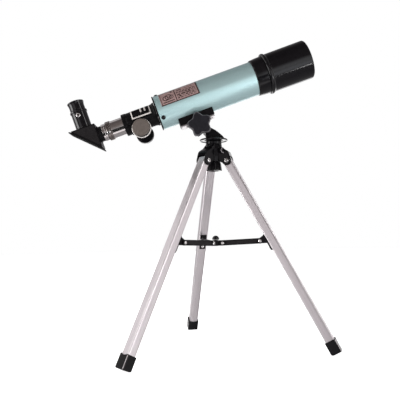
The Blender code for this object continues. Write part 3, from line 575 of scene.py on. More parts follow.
def foil():
    """The information panel: a lens diagram on the left and rows of plain bars on the right."""
    paper, shade, faded = (0.32, 0.215, 0.205), (0.20, 0.128, 0.122), (0.46, 0.33, 0.32)
    ink = (0.012, 0.006, 0.005)
    aspect = 0.43  # the panel's height for its length
    finish = Finish("panel_foil", paper, 0.42, 0.15, {"Specular IOR Level": 0.3})
    layout = finish.coordinates.outputs["UV"]
    place = finish.node("SeparateXYZ", {"Vector": layout})
    u, v = place.outputs["X"], place.outputs["Y"]
    flat = finish.node("CombineXYZ", {"X": u, "Y": finish.math("MULTIPLY", v, aspect)}).outputs["Vector"]

    def within(value, low, high):
        over = finish.math("GREATER_THAN", value, low)
        return finish.math("MULTIPLY", over, finish.math("LESS_THAN", value, high))

    def area(left, right, low, high):
        return finish.math("MULTIPLY", within(u, left, right), within(v, low, high))

    def loop(x, y, radius, width):
        away = finish.node("VectorMath", {0: flat, 1: (x, y * aspect, 0)}, operation="DISTANCE")
        return within(away.outputs["Value"], radius - width, radius + width)

    bricks = {"Vector": layout, "Scale": 1.0, "Brick Width": 0.085, "Row Height": 0.105, "Mortar Size": 0.012,
              "Mortar Smooth": 0.1, "Bias": -0.25, "Color1": (1, 1, 1, 1), "Color2": (0.3, 0.3, 0.3, 1),
              "Mortar": (0, 0, 0, 1)}
    rows = finish.node("TexBrick", bricks, offset=0.37, squash=1.6, squash_frequency=3)
    dark = finish.math("MULTIPLY", rows.outputs["Color"], area(0.45, 0.94, 0.10, 0.64))
    heading = ((0.47, 0.60, 0.70, 0.80), (0.64, 0.90, 0.73, 0.77))
    stand = ((0.06, 0.36, 0.13, 0.19), (0.30, 0.35, 0.76, 0.88))
    # Of the border areas, the first two are thick dark bands along the panel's bottom and right edges; the
    # rest are thin lines and the divider.
    border = ((0.0, 1.0, 0.0, 0.06), (0.965, 1.0, 0.0, 1.0), (0.395, 0.42, 0.06, 0.92),
              (0.02, 0.035, 0.06, 0.92), (0.025, 0.96, 0.89, 0.92))
    lenses = ((0.15, 0.42, 0.065, 0.012), (0.225, 0.47, 0.075, 0.011), (0.30, 0.42, 0.05, 0.010))
    for mask in [area(*edges) for edges in heading + stand + border] + [loop(*lens) for lens in lenses]:
        dark = finish.math("MAXIMUM", dark, mask)
    printed = finish.math("MULTIPLY", dark, finish.spread(finish.noise(0.5), 0.3, 0.6, 0.8, 1.0))
    ground = finish.blend(finish.spread(finish.noise(2.2, detail=4.0), 0.35, 0.65), paper, shade)
    ground = finish.blend(finish.spread(v, 0.7, 1.0, 0.0, 0.55), ground, faded)
    finish.feed(finish.shader, {
        "Base Color": finish.blend(printed, ground, ink),
        "Roughness": finish.spread(printed, 0.0, 1.0, 0.36, 0.55),
    })
    finish.bump(printed, 0.02)
    return finish.material


def glass():
    """Coated glass, with a faint cast in its reflection."""
    finish = Finish("optical_glass", (0.93, 0.97, 0.99), 0.02, 0.0, {
        "Transmission Weight": 1.0, "IOR": 1.52, "Coat Weight": 0.4, "Coat Roughness": 0.01,
        "Thin Film Thickness": 380.0, "Thin Film IOR": 1.38,
    })
    finish.roughness(finish.noise(6, detail=4.0), 0.015, 0.05)
    return finish.material


PAINT = tube_paint()
FOIL = foil()
GLASS = glass()
GLOSS = plastic("gloss_black", (0.0022, 0.002, 0.0026), 0.08, 0.17, 0.8, 0.006, 0.4)
CAST = plastic("cast_black", (0.0022, 0.002, 0.0024), 0.12, 0.22, 0.6, 0.01, 0.16)
SATIN = plastic("satin_black", (0.0024, 0.0021, 0.0025), 0.30, 0.42, 0.35, 0.02, 0.14)
CHARCOAL = plastic("charcoal", (0.0075, 0.0066, 0.007), 0.42, 0.55, 0.3, 0.03, 0.15)
CHARCOAL_DARK = plastic("dark_charcoal", (0.0062, 0.006, 0.0078), 0.40, 0.52, 0.3, 0.03, 0.2)
# Matte black for the blackened bores and hollows. In the hex sockets of steel screws it is painted shade.
INSIDE = plastic("matte_black", (0.003, 0.003, 0.003), 0.75, 0.9, 0.3, 0.03, 0.2)
# A dark grey for the star knob's front bevel: a painted highlight.
PAINTED_EDGE_HIGHLIGHT = plastic("painted_edge_highlight", (0.04, 0.037, 0.041), 0.3, 0.5, 0.3, 0.02, 0.4)
# A light grey for the foot caps' rounded outer corners: a painted highlight.
PAINTED_CORNER_HIGHLIGHT = plastic("painted_corner_highlight", (0.30, 0.275, 0.28), 0.25, 0.35, 0.3, 0.01, 0.5)
# A lighter grey for the end of the hub's boss: a painted highlight ring.
PAINTED_BOSS_HIGHLIGHT = plastic("painted_boss_highlight", (0.10, 0.09, 0.095), 0.2, 0.3, 0.3, 0.01, 0.5)
ALUMINIUM = leg_metal()
CHROME = turned_metal("chrome", (0.80, 0.765, 0.755), 0.07, 0.15, "X", 0.35, 0.004)
BARREL_CHROME = turned_metal("barrel_chrome", (0.80, 0.78, 0.77), 0.07, 0.15, "Z", 0.35, 0.004)
COLLAR = turned_metal("collar_metal", (0.30, 0.265, 0.25), 0.22, 0.34, "X", 0.5, 0.008)
BRONZE = turned_metal("knob_bronze", (0.20, 0.17, 0.152), 0.34, 0.46, "Z", 1.1, 0.03, 0.75)
# A light metal: the near focus knob's bright flange, and a painted highlight on the accessory shoe's bevels.
BRIGHT_METAL_AND_HIGHLIGHT = turned_metal("bright_metal_and_painted_highlight", (0.66, 0.62, 0.59), 0.4, 0.5, "Z", 0.4, 0.006, 0.35)
STEEL = turned_metal("screw_steel", (0.74, 0.72, 0.71), 0.14, 0.26, "Z", 0.4, 0.008)
BRASS = turned_metal("brass", (0.62, 0.45, 0.20), 0.22, 0.34, "Y", 0.4, 0.006)
MIRROR = turned_metal("mirror", (0.92, 0.93, 0.94), 0.01, 0.03, "Z", 3.0, 0.0)


# Optical tube

def make_main_tube():
    tube = lathe(sleeve(TUBE_RADIUS, TUBE_BORE, 1.5, TUBE_FRONT), ALONG_X, ring=True, steps=WIDE)
    show(tube, "main_tube", OPTICS, PAINT, INSIDE, where=[near_axis(TUBE_BORE + 0.1)])


def make_rear_plate():
    spigot = TUBE_BORE - 0.3
    rim = TUBE_RADIUS + 0.8
    profile = [
        (spigot, 14), (spigot, 1.2, 0), (rim, 1.2), (rim, -0.8, 0.5), (24.2, -0.8), (23.8, -0.3),
        (21.6, -0.3), (21.2, -0.8), (17.5, -0.8), (17.5, 3.2), (20, 4), (20, 14),
    ]
    show(lathe(profile, ALONG_X, ring=True), "rear_plate", OPTICS, GLOSS)
    seat = TUBE_RADIUS + 0.2
    head = [(0, seat + 2.1), (1.7, seat + 1.9), (2.9, seat + 1.2), (3.4, seat, 0), (1.3, seat),
            (1.3, 19.5), (0, 19.5)]
    for number, angle in enumerate(REAR_SCREWS, 1):
        screw = cut(lathe(head, steps=FINE, rounding=0.6), *cross_recess(0.7, 3.2, 1.1, seat + 2.1))
        show(screw, f"rear_screw_{number}", moved(OPTICS, REAR_SCREW_PLACE) @ around_tube(angle), GLOSS)


def make_info_panel():
    """A thin foil panel bent round the tube, with its printed side laid out in its UV map."""
    long, tall = 40, 24
    start, end = PANEL_LENGTH
    low, high = PANEL_ANGLES
    shape = bmesh.new()
    borders = []
    for radius in (TUBE_RADIUS + 0.6, TUBE_RADIUS + 0.25):
        rows = []
        for j in range(tall + 1):
            angle = math.radians(low + (high - low) * j / tall)
            y, z = -radius * math.cos(angle), radius * math.sin(angle)
            rows.append([shape.verts.new((start + (end - start) * i / long, y, z)) for i in range(long + 1)])
        for one, other in zip(rows, rows[1:]):
            for i in range(long):
                shape.faces.new((one[i], one[i + 1], other[i + 1], other[i]))
        borders.append(rows[0] + [row[-1] for row in rows[1:-1]] + rows[-1][::-1]
                       + [row[0] for row in rows[-2:0:-1]])
    bridge(shape, *borders)
    panel = shape_object(shape)
    layer = panel.data.uv_layers.new(name="Panel")
    for loop in panel.data.loops:
        point = panel.data.vertices[loop.vertex_index].co / MM
        angle = math.degrees(math.atan2(point.z, -point.y))
        layer.data[loop.index].uv = ((point.x - start) / (end - start), (angle - low) / (high - low))
    show(panel, "info_panel", OPTICS, FOIL)


def make_objective():
    spigot = TUBE_BORE - 0.3
    radius = LENS_RADIUS
    cell = [
        (SHIELD_BORE - 0.3, CELL_FRONT), (SHIELD_BORE - 0.3, 178.2), (29.2, 178.0, 0.6), (28.8, 170, 2),
        (28.1, 161, 2), (27.6, TUBE_FRONT + 0.2, 0.7), (spigot, TUBE_FRONT + 0.2), (spigot, 149), (22.5, 149),
        (22.5, 168), (23.8, LENS_SEAT), (radius + 0.2, LENS_SEAT), (radius + 0.2, CELL_FRONT),
    ]
    cell = lathe(cell, ALONG_X, ring=True, steps=WIDE, rounding=0.3)
    show(cell, "lens_cell", OPTICS, GLOSS, INSIDE, where=[near_axis(radius + 0.3)])
    back = LENS_SEAT + 0.3
    sag = 2.2
    front = [(out, back + 6.6 - sag * (out / radius) ** 2, 0) for out in range(0, 25, 2)]
    lens = lathe(front + [(radius, back + 4.4, 0.5), (radius, back, 0.3), (0, back)], ALONG_X)
    show(lens, "objective_lens", OPTICS, GLASS)
    ring = [(radius, back + 7), (radius, back + 11), (24.2, back + 11), (23.4, back + 9.6), (23.4, back + 7)]
    notches = [block((back + 9.8, -1.1, side * 24.2 - 1.4), (back + 12, 1.1, side * 24.2 + 1.4), 0.2)
               for side in (-1, 1)]
    show(cut(lathe(ring, ALONG_X, ring=True), *notches), "lens_retaining_ring", OPTICS, INSIDE)


def make_dew_shield():
    """A shell with baffle grooves inside and a rolled bead at its rear."""
    rear, front, bore = SHIELD_REAR, SHIELD_FRONT, SHIELD_BORE
    groove = bore + 0.45
    inner = [(bore, rear)]
    for along in range(196, 242, 5):
        inner += [(bore, along), (groove, along + 0.6), (groove, along + 2.4), (bore, along + 3)]
    inner += [(bore, front - 0.9), (bore + 0.4, front)]
    outer = [
        (29.4, front), (30.2, front - 1.0, 0.8), (30.3, front - 2.6, 1), (29.9, 185.2, 0.8),
        (30.6, 184.2, 0.5), (31.7, 183.2, 0.8), (32.2, 181.2, 1.6), (31.6, 179.3, 0.8), (30.4, rear, 0.4),
    ]
    shield = lathe(inner + outer, ALONG_X, ring=True, steps=WIDE, rounding=0.2)
    show(shield, "dew_shield", OPTICS, GLOSS, INSIDE,
         where=[lambda point, normal: off_axis(point) < 29.2 and point.x > rear + 0.5])


# Focuser

def make_housing():
    waist, end = HOUSING_WAIST, HOUSING_REAR
    bore = DRAW_RADIUS + 0.3
    profile = [
        (18.4, -1.1, 0.3), (18.4, -3.0, 0.6), (17.3, -5.0, 1.5), (waist, -7.8, 2), (waist, -47.6, 0.3),
        (HOUSING_RADIUS, -48.4, 0.3), (HOUSING_RADIUS, end, 0.8), (bore, end, 0.4), (bore, -1.1),
    ]
    along, below = PINION_PLACE
    pinion = (ALONG_Y, (along, 0, below))
    cradle = block((along - 7.5, -10.5, below - 7), (along + 7.5, 10.5, -14.6), 2)
    hub = rod(4.4, -11.2, 11.2, *pinion, rounding=0.5)
    rib = block((-47, -1.1, -18.4), (along - 5, 1.1, -14.5), 0.4)
    housing = join(lathe(profile, ALONG_X, ring=True), cradle, hub, rib)
    keyway = block((end - 2, -2.5, -16.1), (1, 2.5, -10), 0.05)
    gear_room = rod(5.2, -2.6, 2.6, *pinion)
    shaft_hole = rod(2.2, -15, 15, *pinion)
    housing = cut(housing, keyway, gear_room, shaft_hole)
    show(housing, "focuser_housing", OPTICS, SATIN, INSIDE, where=[near_axis(bore + 0.1)], angle=28)


def make_accessory_shoe():
    """The pad's lower and end bevels are light, a painted highlight, and the floors of its two cross grooves
    take the same light finish.
    """
    rear, front = SHOE_ENDS
    low, high = SHOE_SIDES
    bevel = 1.7
    outline = rounded(rectangle(rear, low, front, high), 0.5, True)
    step = rounded(rectangle(rear + bevel, low + bevel, front - bevel, high - 0.2), 0.5, True)
    shoe = loft([(13.8, outline), (17.6, outline), (18.7, step)])
    seat = rod(HOUSING_WAIST + 0.25, -45, 0, ALONG_X, steps=ROUND)
    grooves = [block((along - 1.3, -1.5, 17.5), (along + 1.3, 9, 21), 0.25) for along in SHOE_GROOVES]

    # Faces with the light finish: the lower and end bevels as a painted highlight, and the groove floors.
    def highlight_and_groove_floor(point, normal):
        slope = 0.3 < normal.z < 0.97 and point.z > 17.5 and point.y < 6
        groove_floor = normal.z > 0.9 and 17.3 < point.z < 17.7 and point.y > -1.6
        return slope or groove_floor

    place = OPTICS @ around_tube(SHOE_ANGLE)
    show(cut(shoe, seat, *grooves), "accessory_shoe", place, SATIN, BRIGHT_METAL_AND_HIGHLIGHT, where=[highlight_and_groove_floor])


def make_draw_tube():
    low, high = DRAW_ENDS
    draw = lathe(sleeve(DRAW_RADIUS, DRAW_BORE, low, high), ALONG_X, ring=True)
    groove = block((-50.0, -2.3, -16), (4.0, 2.3, -DRAW_RADIUS + 0.55), 0.1)
    show(cut(draw, groove), "draw_tube", OPTICS, CHROME, INSIDE, where=[near_axis(DRAW_BORE + 0.1)])
    refinish("focus_rack", BRASS)
    seat = DRAW_RADIUS + 0.2
    collar = [
        (14.4, -74.3), (15.0, -74.9), (15.0, -77.0, 0.2), (14.7, -77.3, 0), (15.0, -77.6, 0.2), (15.0, -81.4),
        (14.4, -82.0), (12.3, -82.0), (12.3, -76.6), (seat, -76.6), (seat, -74.3),
    ]
    show(lathe(collar, ALONG_X, ring=True), "draw_tube_collar", OPTICS, COLLAR)
    screw = [(0, 17.0), (2.0, 17.0), (2.7, 16.5), (2.7, 15.2), (1.3, 15.2), (1.3, 12.4), (0, 12.4)]
    screw = cut(lathe(screw, steps=FINE), hex_recess(2.0, 1.3, 17.0))
    # Its hex socket is matte black: painted shade.
    show(screw, "collar_screw", moved(OPTICS, COLLAR_SCREW_PLACE) @ around_tube(COLLAR_SCREW_ANGLE), STEEL,
         INSIDE, where=[lambda point, normal: off_axis(point, "Z") < 1.25 and point.z > 15.5])


def make_knobs():
    """The near knob has a turned metal cap over a bright flange. The far one is all black."""
    axis = moved(OPTICS, PINION_PLACE[0], 0, PINION_PLACE[1])
    refinish("pinion_shaft", BRASS)
    inner, outer = KNOB_FACES
    radius = KNOB_RADIUS
    bore, bore_end = 2.2, 31.3
    face = radius - 1.6
    hollow = [(6, inner + 0.6), (5.4, inner), (bore, inner), (bore, bore_end), (0, bore_end)]
    near = [
        (0, outer - 0.25), (face - 0.5, outer - 0.1, 0.3), (face, outer - 0.5, 0.3), (face, outer - 1.1, 0),
        (face - 0.2, outer - 1.5, 0), (face + 0.5, outer - 2.3, 0.2), (face + 0.8, inner + 3.8, 0.2),
        (radius, inner + 3.0, 0.3), (radius + 0.05, inner + 0.7, 0.4), (radius - 0.8, inner, 0.3),
        (7, inner), *hollow,
    ]

    def cap_face(point, normal):
        return point.z > outer - 1.2

    def flange(point, normal):
        return off_axis(point, "Z") > face + 0.85 and inner + 0.3 < point.z < inner + 3.9

    near = lathe(near, rounding=0.2)
    show(near, "focus_knob_near", axis @ NEAR, SATIN, BRONZE, BRIGHT_METAL_AND_HIGHLIGHT, where=[cap_face, flange])
    radius -= 0.4
    ribs = 44
    grip = loft([(height, lobed(radius - 0.15 - trim, 0.15, ribs, 0, 6 * ribs)) for height, trim in
                 ((inner + 0.9, 0.6), (inner + 1.5, 0), (outer - 2.0, 0), (outer - 0.8, 0.8))])
    cap = lathe([(0, outer - 0.4), (radius - 2.4, outer - 0.4), (radius - 1.8, outer), (radius - 1.0, outer),
                 (radius - 0.9, outer - 2), (0, outer - 2)], rounding=0.3)
    back = lathe([(0, inner + 2), (radius - 0.8, inner + 2), (radius - 0.8, inner + 0.3), (6.5, inner),
                  (0, inner)], rounding=0.4)
    far = cut(join(grip, cap, back), rod(bore, inner - 2, bore_end))
    show(far, "focus_knob_far", axis @ ALONG_Y, GLOSS, angle=40)


# Diagonal and eyepiece

def triangle(corner, side, inset=0.0):
    """The corner of a right-angled prism, with its square sides along -X and -Z, all sides moved in."""
    x, z = corner[0] - inset, corner[1] - inset
    reach = side - inset * (2 + math.sqrt(2))
    return [(x, z), (x - reach, z), (x, z - reach)]


def make_diagonal():
    nose = [
        (11.9, -64), (11.9, -82.3), (13.4, -82.4), (13.4, -84.6, 0.2), (12.9, -85.0, 0.2), (13.4, -85.4, 0.2),
        (13.4, -88.6), (12.8, -89.3), (10.5, -89.3), (10.5, -64),
    ]
    show(lathe(nose, ALONG_X, ring=True), "diagonal_nose", OPTICS, CHROME, INSIDE, where=[near_axis(10.6)])
    x, z = PRISM_CORNER
    half, wall = PRISM_HALF_WIDTH, PRISM_WALL
    side = PRISM_SIDE - COVER_THICKNESS * math.sqrt(2)
    housing = slab([rounded(triangle(PRISM_CORNER, side), 1.0, True)], 2 * half, 0.7, NEAR)
    neck = rod(12.0, x - 3, -89.6, ALONG_X, steps=ROUND)
    shoulder = rod(13.2, x - 0.5, x + 1.6, ALONG_X, steps=ROUND, rounding=0.5)
    housing = join(housing, neck, shoulder)
    tip = PRISM_SIDE - wall
    cavity = slab([rectangle(x - wall, z - wall, x - tip, z - tip)], 2 * (half - wall), 0, NEAR)
    holes = [rod(10.2, x - 8, -85, ALONG_X), rod(HOLDER_BORE, 10, 25, at=(EYEPIECE_PLACE, 0, 0), steps=ROUND)]
    panel = rounded(triangle(PRISM_CORNER, side, 1.5), 1.2, True)
    recess = 0.3
    recesses = [slab([panel], 2 * recess, 0.15, NEAR, (0, near * half, 0)) for near in (-1, 1)]
    housing = cut(housing, cavity, *holes, *recesses)

    def recessed(point, normal):
        return abs(normal.y) > 0.95 and abs(abs(point.y) - half + recess) < 0.05

    def hollow(point, normal):
        return abs(point.y) < half - wall + 0.01 and point.x < x - wall + 0.1 and point.z < z - wall + 0.1

    show(housing, "diagonal_housing", OPTICS, SATIN, CHARCOAL, INSIDE, where=[recessed, hollow], angle=28)
    step = side + 0.3 * math.sqrt(2)
    cover = [(x - step, z), (x - PRISM_SIDE, z), (x, z - PRISM_SIDE), (x, z - step)]
    show(slab([rounded(cover, 0.6, True)], 2 * half, 0.5, NEAR), "diagonal_cover", OPTICS, INSIDE)
    refinish("diagonal_mirror", MIRROR)


def make_eyepiece():
    top, low = HOLDER_TOP, PRISM_CORNER[1] + 0.2
    bore, radius = HOLDER_BORE, HOLDER_RADIUS
    lip = 13.4
    holder = [
        (bore, low), (radius + 0.5, low, 0.3), (radius + 0.5, low + 1.4, 0.4), (radius, low + 2.0, 0.4),
        (radius, top - 3.6, 0.3), (lip, top - 2.9, 0.4), (lip, top - 0.6, 0.4), (lip - 0.5, top, 0.3),
        (bore, top),
    ]
    holder = cut(lathe(holder, ring=True), rod(1.7, 8, 20, NEAR, (0, 0, HOLDER_SCREW_HEIGHT)))
    show(holder, "eyepiece_holder", EYEPIECE, GLOSS, INSIDE, where=[near_axis(bore + 0.1, "Z")])
    screw = [(0, 15.2), (2.7, 15.2), (3.4, 14.6), (3.4, 12.8), (1.4, 12.8), (1.4, 11.35), (0, 11.35)]
    screw = cut(lathe(screw, steps=FINE), hex_recess(2.5, 1.5, 15.2))
    # Its hex socket is matte black: painted shade.
    show(screw, "holder_screw", moved(EYEPIECE, z=HOLDER_SCREW_HEIGHT) @ NEAR, STEEL, INSIDE,
         where=[lambda point, normal: off_axis(point, "Z") < 1.5 and point.z > 13.5])
    low = HOLDER_TOP + 0.2
    top = EYEPIECE_TOP
    body = [
        (9.2, low), (11.5, low, 0.3), (11.9, low + 0.8, 0.3), (11.9, top - 6.4, 3), (12.3, top - 3.4, 3),
        (13.0, top - 1.4, 0.6), (13.0, top - 0.5, 0.5), (12.3, top, 0.4), (10.4, top, 0.6),
        (8.6, top - 0.9, 0.6), (6.2, top - 3.6, 0.3), (9.2, top - 4.6),
    ]
    show(lathe(body, ring=True), "eyepiece_body", EYEPIECE, GLOSS)
    barrel = [(9.8, 24), (10.7, 24), (11.0, 24.6), (11.0, low - 0.4), (9.8, low - 0.4)]
    show(lathe(barrel, ring=True), "eyepiece_barrel", EYEPIECE, BARREL_CHROME)
    top -= 5.2
    lens = [(0, top)] + [(radius, top - 0.015 * radius ** 2, 0) for radius in (1.5, 3, 4.5, 6, 7.5)]
    lens += [(8.8, top - 1.2, 0.3), (8.8, top - 3.2, 0.3), (0, top - 3.2)]
    show(lathe(lens, steps=FINE), "eye_lens", EYEPIECE, GLASS)


# Mount

def make_saddle():
    rear, front = SADDLE_ENDS
    saddle = block((rear, -SADDLE_HALF_WIDTH, SADDLE_BOTTOM), (front, SADDLE_HALF_WIDTH, -18), 0.8)
    seat = rod(TUBE_RADIUS + 0.15, 10, 100, ALONG_X, steps=ROUND)
    holes = [rod(2.3, -35, -15, at=(along, 0, 0)) for along in SADDLE_SCREWS]
    show(cut(saddle, seat, *holes), "saddle_block", OPTICS, SATIN, angle=28)
    top = SADDLE_BOTTOM - 0.2
    low = top - 2.3
    x, z = TILT_IN_TUBE
    strip = block((rear + 0.6, -12, low), (front - 0.6, 12, top), 0.5)
    outline = arc((x, z), TONGUE_RADIUS, 180, 360, 28)
    outline += [(x + TONGUE_RADIUS, low + 1), (x - TONGUE_RADIUS, low + 1)]
    strip = join(strip, slab([outline], 2 * TONGUE_HALF_WIDTH, 0.5, NEAR))
    holes = [rod(2.3, -45, -30, at=(along, 0, 0)) for along in SADDLE_SCREWS]
    show(cut(strip, rod(2.6, -8, 8, ALONG_Y, (x, 0, z)), *holes), "tilt_lug", OPTICS, ALUMINIUM, angle=28)
    profile = [(0, -22.4), (2.0, -22.4), (2.0, -34, 0), (2.0, low, 0), (3.6, low - 0.1, 0.2),
               (3.6, low - 1.0), (2.6, low - 1.7), (0, low - 1.9)]
    downward = Matrix.Rotation(math.pi, 4, "X")
    for where, along in zip(("rear", "front"), SADDLE_SCREWS):
        screw = lathe(profile, steps=FINE, rounding=0.3)
        screw = cut(screw, *cross_recess(0.6, 2.8, 0.9, 0, downward, (0, 0, low - 1.9)))
        show(screw, f"saddle_screw_{where}", moved(OPTICS, along), STEEL)


def make_tilt_clamp():
    """The star knob has a flat face, a painted highlight on the bevel round that face, and a boss that meets
    the neck.
    """
    inner, outer = TILT_KNOB_FACES
    middle = TILT_KNOB_RADIUS - TILT_KNOB_SWING
    rims = ((inner, 1.6), (inner + 0.4, 0.7), (inner + 1.2, 0.15), (inner + 2.0, 0), (outer - 2.4, 0),
            (outer - 1.6, 0.2), (outer - 0.8, 0.75), (outer - 0.25, 1.4), (outer, 2.0))
    knob = loft([(height, lobed(middle - trim, TILT_KNOB_SWING, 5, 36, 200)) for height, trim in rims], NEAR)
    boss = rod(6.6, NECK_HALF_WIDTH + 0.4, inner + 2, NEAR, rounding=0.4)
    knob = cut(join(knob, boss), rod(2.6, 5, 24.3, NEAR))

    def side(point, normal):
        return normal.y > -0.95

    # The bevel round the face, which takes a painted highlight.
    def bevel(point, normal):
        return point.y < 2.2 - outer and -0.97 < normal.y < -0.4

    show(knob, "tilt_knob", TILT, CHARCOAL_DARK, GLOSS, PAINTED_EDGE_HIGHLIGHT, where=[side, bevel], angle=24)


def make_neck():
    x, z = TILT_IN_NECK
    outline = [(16.4, NECK_FOOT), (13.8, 323.4, 6), (10.4, 326.6, 6), (6.8, 329.8, 6), (2.8, 332.8, 6),
               (-1.6, 335.3, 6), (-6.4, 337.9, 6), (-11.4, 340.8, 3)]
    outline += [(*point, 0) for point in arc((x, z), TONGUE_RADIUS, 40, 230, 28)]
    outline += [(-16.6, 330.8, 4), (-12.4, 326.4, 4), (-12.0, NECK_FOOT)]
    neck = slab([rounded(outline, 0.8, True)], 2 * NECK_HALF_WIDTH, 1.4, NEAR, segments=4)
    half = TONGUE_HALF_WIDTH + 0.4
    slot = block((x - 14, -half, z - 8.3), (x + 14.5, half, z + 12), 0.6)
    neck = cut(neck, slot, rod(2.6, -20, 20, ALONG_Y, (x, 0, z)), rod(SPINDLE_RADIUS + 0.3, 310, 327.4))
    show(neck, "neck", PAN, CAST, angle=28)
    refinish("pan_spindle", STEEL)
    bolt = rod(2.3, -12, 24, NEAR, rounding=0.4)
    head = slab([rounded(circle(5.2, 6), 0.5, True)], 4, 0.5, NEAR, (0, NECK_HALF_WIDTH + 2.2, 0))
    show(join(bolt, head), "tilt_bolt", TILT, STEEL)


def make_pan_parts():
    bore = SPINDLE_RADIUS + 0.3
    disc = [
        (bore, 317.0), (13.4, 317.0, 1), (14.6, 318.0, 1), (19.6, 318.1, 0.6), (20.6, 317.3, 0.4),
        (DISC_RADIUS, 317.5, 0.3), (DISC_RADIUS, 319.0, 0.4), (20.6, 319.9, 0.4), (bore, 319.9),
    ]
    show(lathe(disc, ring=True), "pan_disc", PAN, GLOSS)
    low, high = LOCK_NUT_ENDS
    ribs = 12
    rims = ((low, 11.2, 1.0), (low + 0.5, 11.75, 0.9), (low + 1.6, 11.8, 0.7), (high - 3, 10.8, 0.5),
            (high - 0.8, 10.3, 0.3), (high, 9.7, 0.2))
    nut = loft([(height, lobed(radius - depth / 2, depth / 2, ribs, 0, 10 * ribs))
                for height, radius, depth in rims])
    nut = cut(nut, rod(bore, low - 2, high + 2), rod(7.4, low - 2, low + 1.0))
    show(nut, "pan_lock_nut", PAN, CAST, angle=40)


# Tripod

def make_hub():
    """A black casting: a column, an arm over each leg, and a boss with a painted highlight on its end and a
    set screw.
    """
    bore = SPINDLE_RADIUS + 0.4
    column = [
        (bore, HUB_BOTTOM), (12.4, HUB_BOTTOM, 1), (13.4, 292, 2), (13.2, 305, 2), (12.2, 312, 2),
        (12.6, HUB_TOP, 0.8), (bore, HUB_TOP),
    ]
    arm = [(9, 311.5), (12.0, 308.0, 4), (14.8, 305.0, 4), (19.5, 302.4, 4), (24.0, 299.8, 3),
           (25.4, 297.0, 3), (27.0, 292.0, 4)]
    arm += [(*point, 0) for point in arc(LEG_PIVOT, 7.2, 20, -150, 20)] + [(12.4, 283.6), (9, 285)]
    arms = [slab([rounded(arm, 0, True)], 2 * HUB_ARM_HALF_WIDTH, 1.6, FACING[leg] @ NEAR) for leg in LEGS]
    boss = rod(4.6, 8, HUB_BOSS_END, SET_SCREW_TURN, SET_SCREW, rounding=0.8)
    hub = cast(join(lathe(column, ring=True), *arms, boss), 0.6, 6)
    pivot_r, pivot_z = LEG_PIVOT
    mouth = math.degrees(math.asin(7.3 / 8.0))
    edge = arc(LEG_PIVOT, 8.0, mouth, 180, 20)
    slot = [(pivot_r + 16, pivot_z - 16), (pivot_r + 16, edge[0][1]), *edge, (edge[-1][0], pivot_z - 16)]
    cutters = [rod(bore, 270, 330), rod(2.4, 3, 25, SET_SCREW_TURN, SET_SCREW),
               rod(3.0, 17.2, 25, SET_SCREW_TURN, SET_SCREW)]
    for leg in LEGS:
        cutters.append(slab([slot], LEG_WIDTH + 0.6, 0, FACING[leg] @ NEAR))
        cutters.append(rod(1.9, -20, 20, FACING[leg] @ ALONG_Y, FACING[leg] @ Vector((pivot_r, 0, pivot_z))))
    way = Vector((math.cos(math.radians(SET_SCREW_AZIMUTH)), math.sin(math.radians(SET_SCREW_AZIMUTH)), 0))
    boss_end = way * HUB_BOSS_END + Vector(SET_SCREW)
    # The boss's end face takes a painted highlight.
    show(cut(hub, *cutters), "hub_casting", PAN, CAST, PAINTED_BOSS_HIGHLIGHT, angle=35, weighted=False,
         where=[lambda point, normal: (point - boss_end).length < 5 and normal.dot(way) > 0.8])
    screw = [(0, 16.6), (2.1, 16.4, 0.3), (2.1, 4.6), (0, 4.6)]
    screw = cut(lathe(screw, SET_SCREW_TURN, SET_SCREW, steps=FINE),
                hex_recess(2.0, 1.6, 16.6, SET_SCREW_TURN, SET_SCREW))
    show(screw, "hub_set_screw", PAN, STEEL)


def make_leg(leg):
    half_depth, half_width = LEG_DEPTH / 2, LEG_WIDTH / 2
    foot = 3.3 - LEG_LENGTH
    outline = box_outline(half_depth, half_width, 2.6)
    inside = box_outline(half_depth - LEG_WALL, half_width - LEG_WALL, 1.4)
    tube = slab([outline, inside], LEG_TOP - foot, 0.25, at=(0, 0, (LEG_TOP + foot) / 2), segments=2)
    show(cut(tube, rod(1.9, -12, 12, ALONG_Y)), f"leg_{leg}", LEG[leg], ALUMINIUM, angle=20)
    refinish(f"leg_plug_{leg}", SATIN)
    low = -LEG_LENGTH
    top = low + CAP_LENGTH
    cap = loft([(height, box_outline(half_depth + CAP_WALL - trim, half_width + CAP_WALL - trim, 3.0 - trim))
                for height, trim in ((low, 1.0), (low + 0.4, 0.4), (low + 1.2, 0), (top - 0.9, 0),
                                     (top - 0.25, 0.3), (top, 0.8))])
    socket = slab([box_outline(half_depth + 0.15, half_width + 0.15, 2.7)], 40, 0, at=(0, 0, foot - 0.2 + 20))
    floor = block((100, -60, -30), (230, 60, 0), 0, *seen_from(LEG[leg], SIDE[leg]))
    scoop = rod(13, -12, 12, ALONG_X, (0, 0, top + 13 - 1.8), steps=ROUND)

    # The rounded outer corners, which take a painted highlight.
    def corner(point, normal):
        return abs(normal.z) < 0.3 and normal.x > 0 and 0.42 < abs(normal.y) < 0.86

    show(cut(cap, socket, floor, scoop), f"foot_cap_{leg}", LEG[leg], CAST, PAINTED_CORNER_HIGHLIGHT, where=[corner], angle=30)
    head = HUB_ARM_HALF_WIDTH + 0.1
    pin = [(0, head + 1.7), (2.0, head + 1.6, 0.6), (3.4, head + 0.9, 0.5), (3.4, head, 0), (1.6, head, 0)]
    pin += [(radius, -height, *rounding) for radius, height, *rounding in pin[::-1]]
    recesses = [hex_recess(2.4, 1.3, head + 1.7, turn) for turn in (ALONG_Y, NEAR)]
    pin = cut(lathe(pin, ALONG_Y, steps=FINE), *recesses)
    # Its hex sockets are matte black: painted shade.
    show(pin, f"leg_pin_{leg}", PIVOT[leg], STEEL, INSIDE, where=[near_axis(1.45, "Y")])


def rivet_head(outline, turn, at, rounding=0.4):
    return lathe(outline, turn, at, steps=FINE, rounding=rounding)


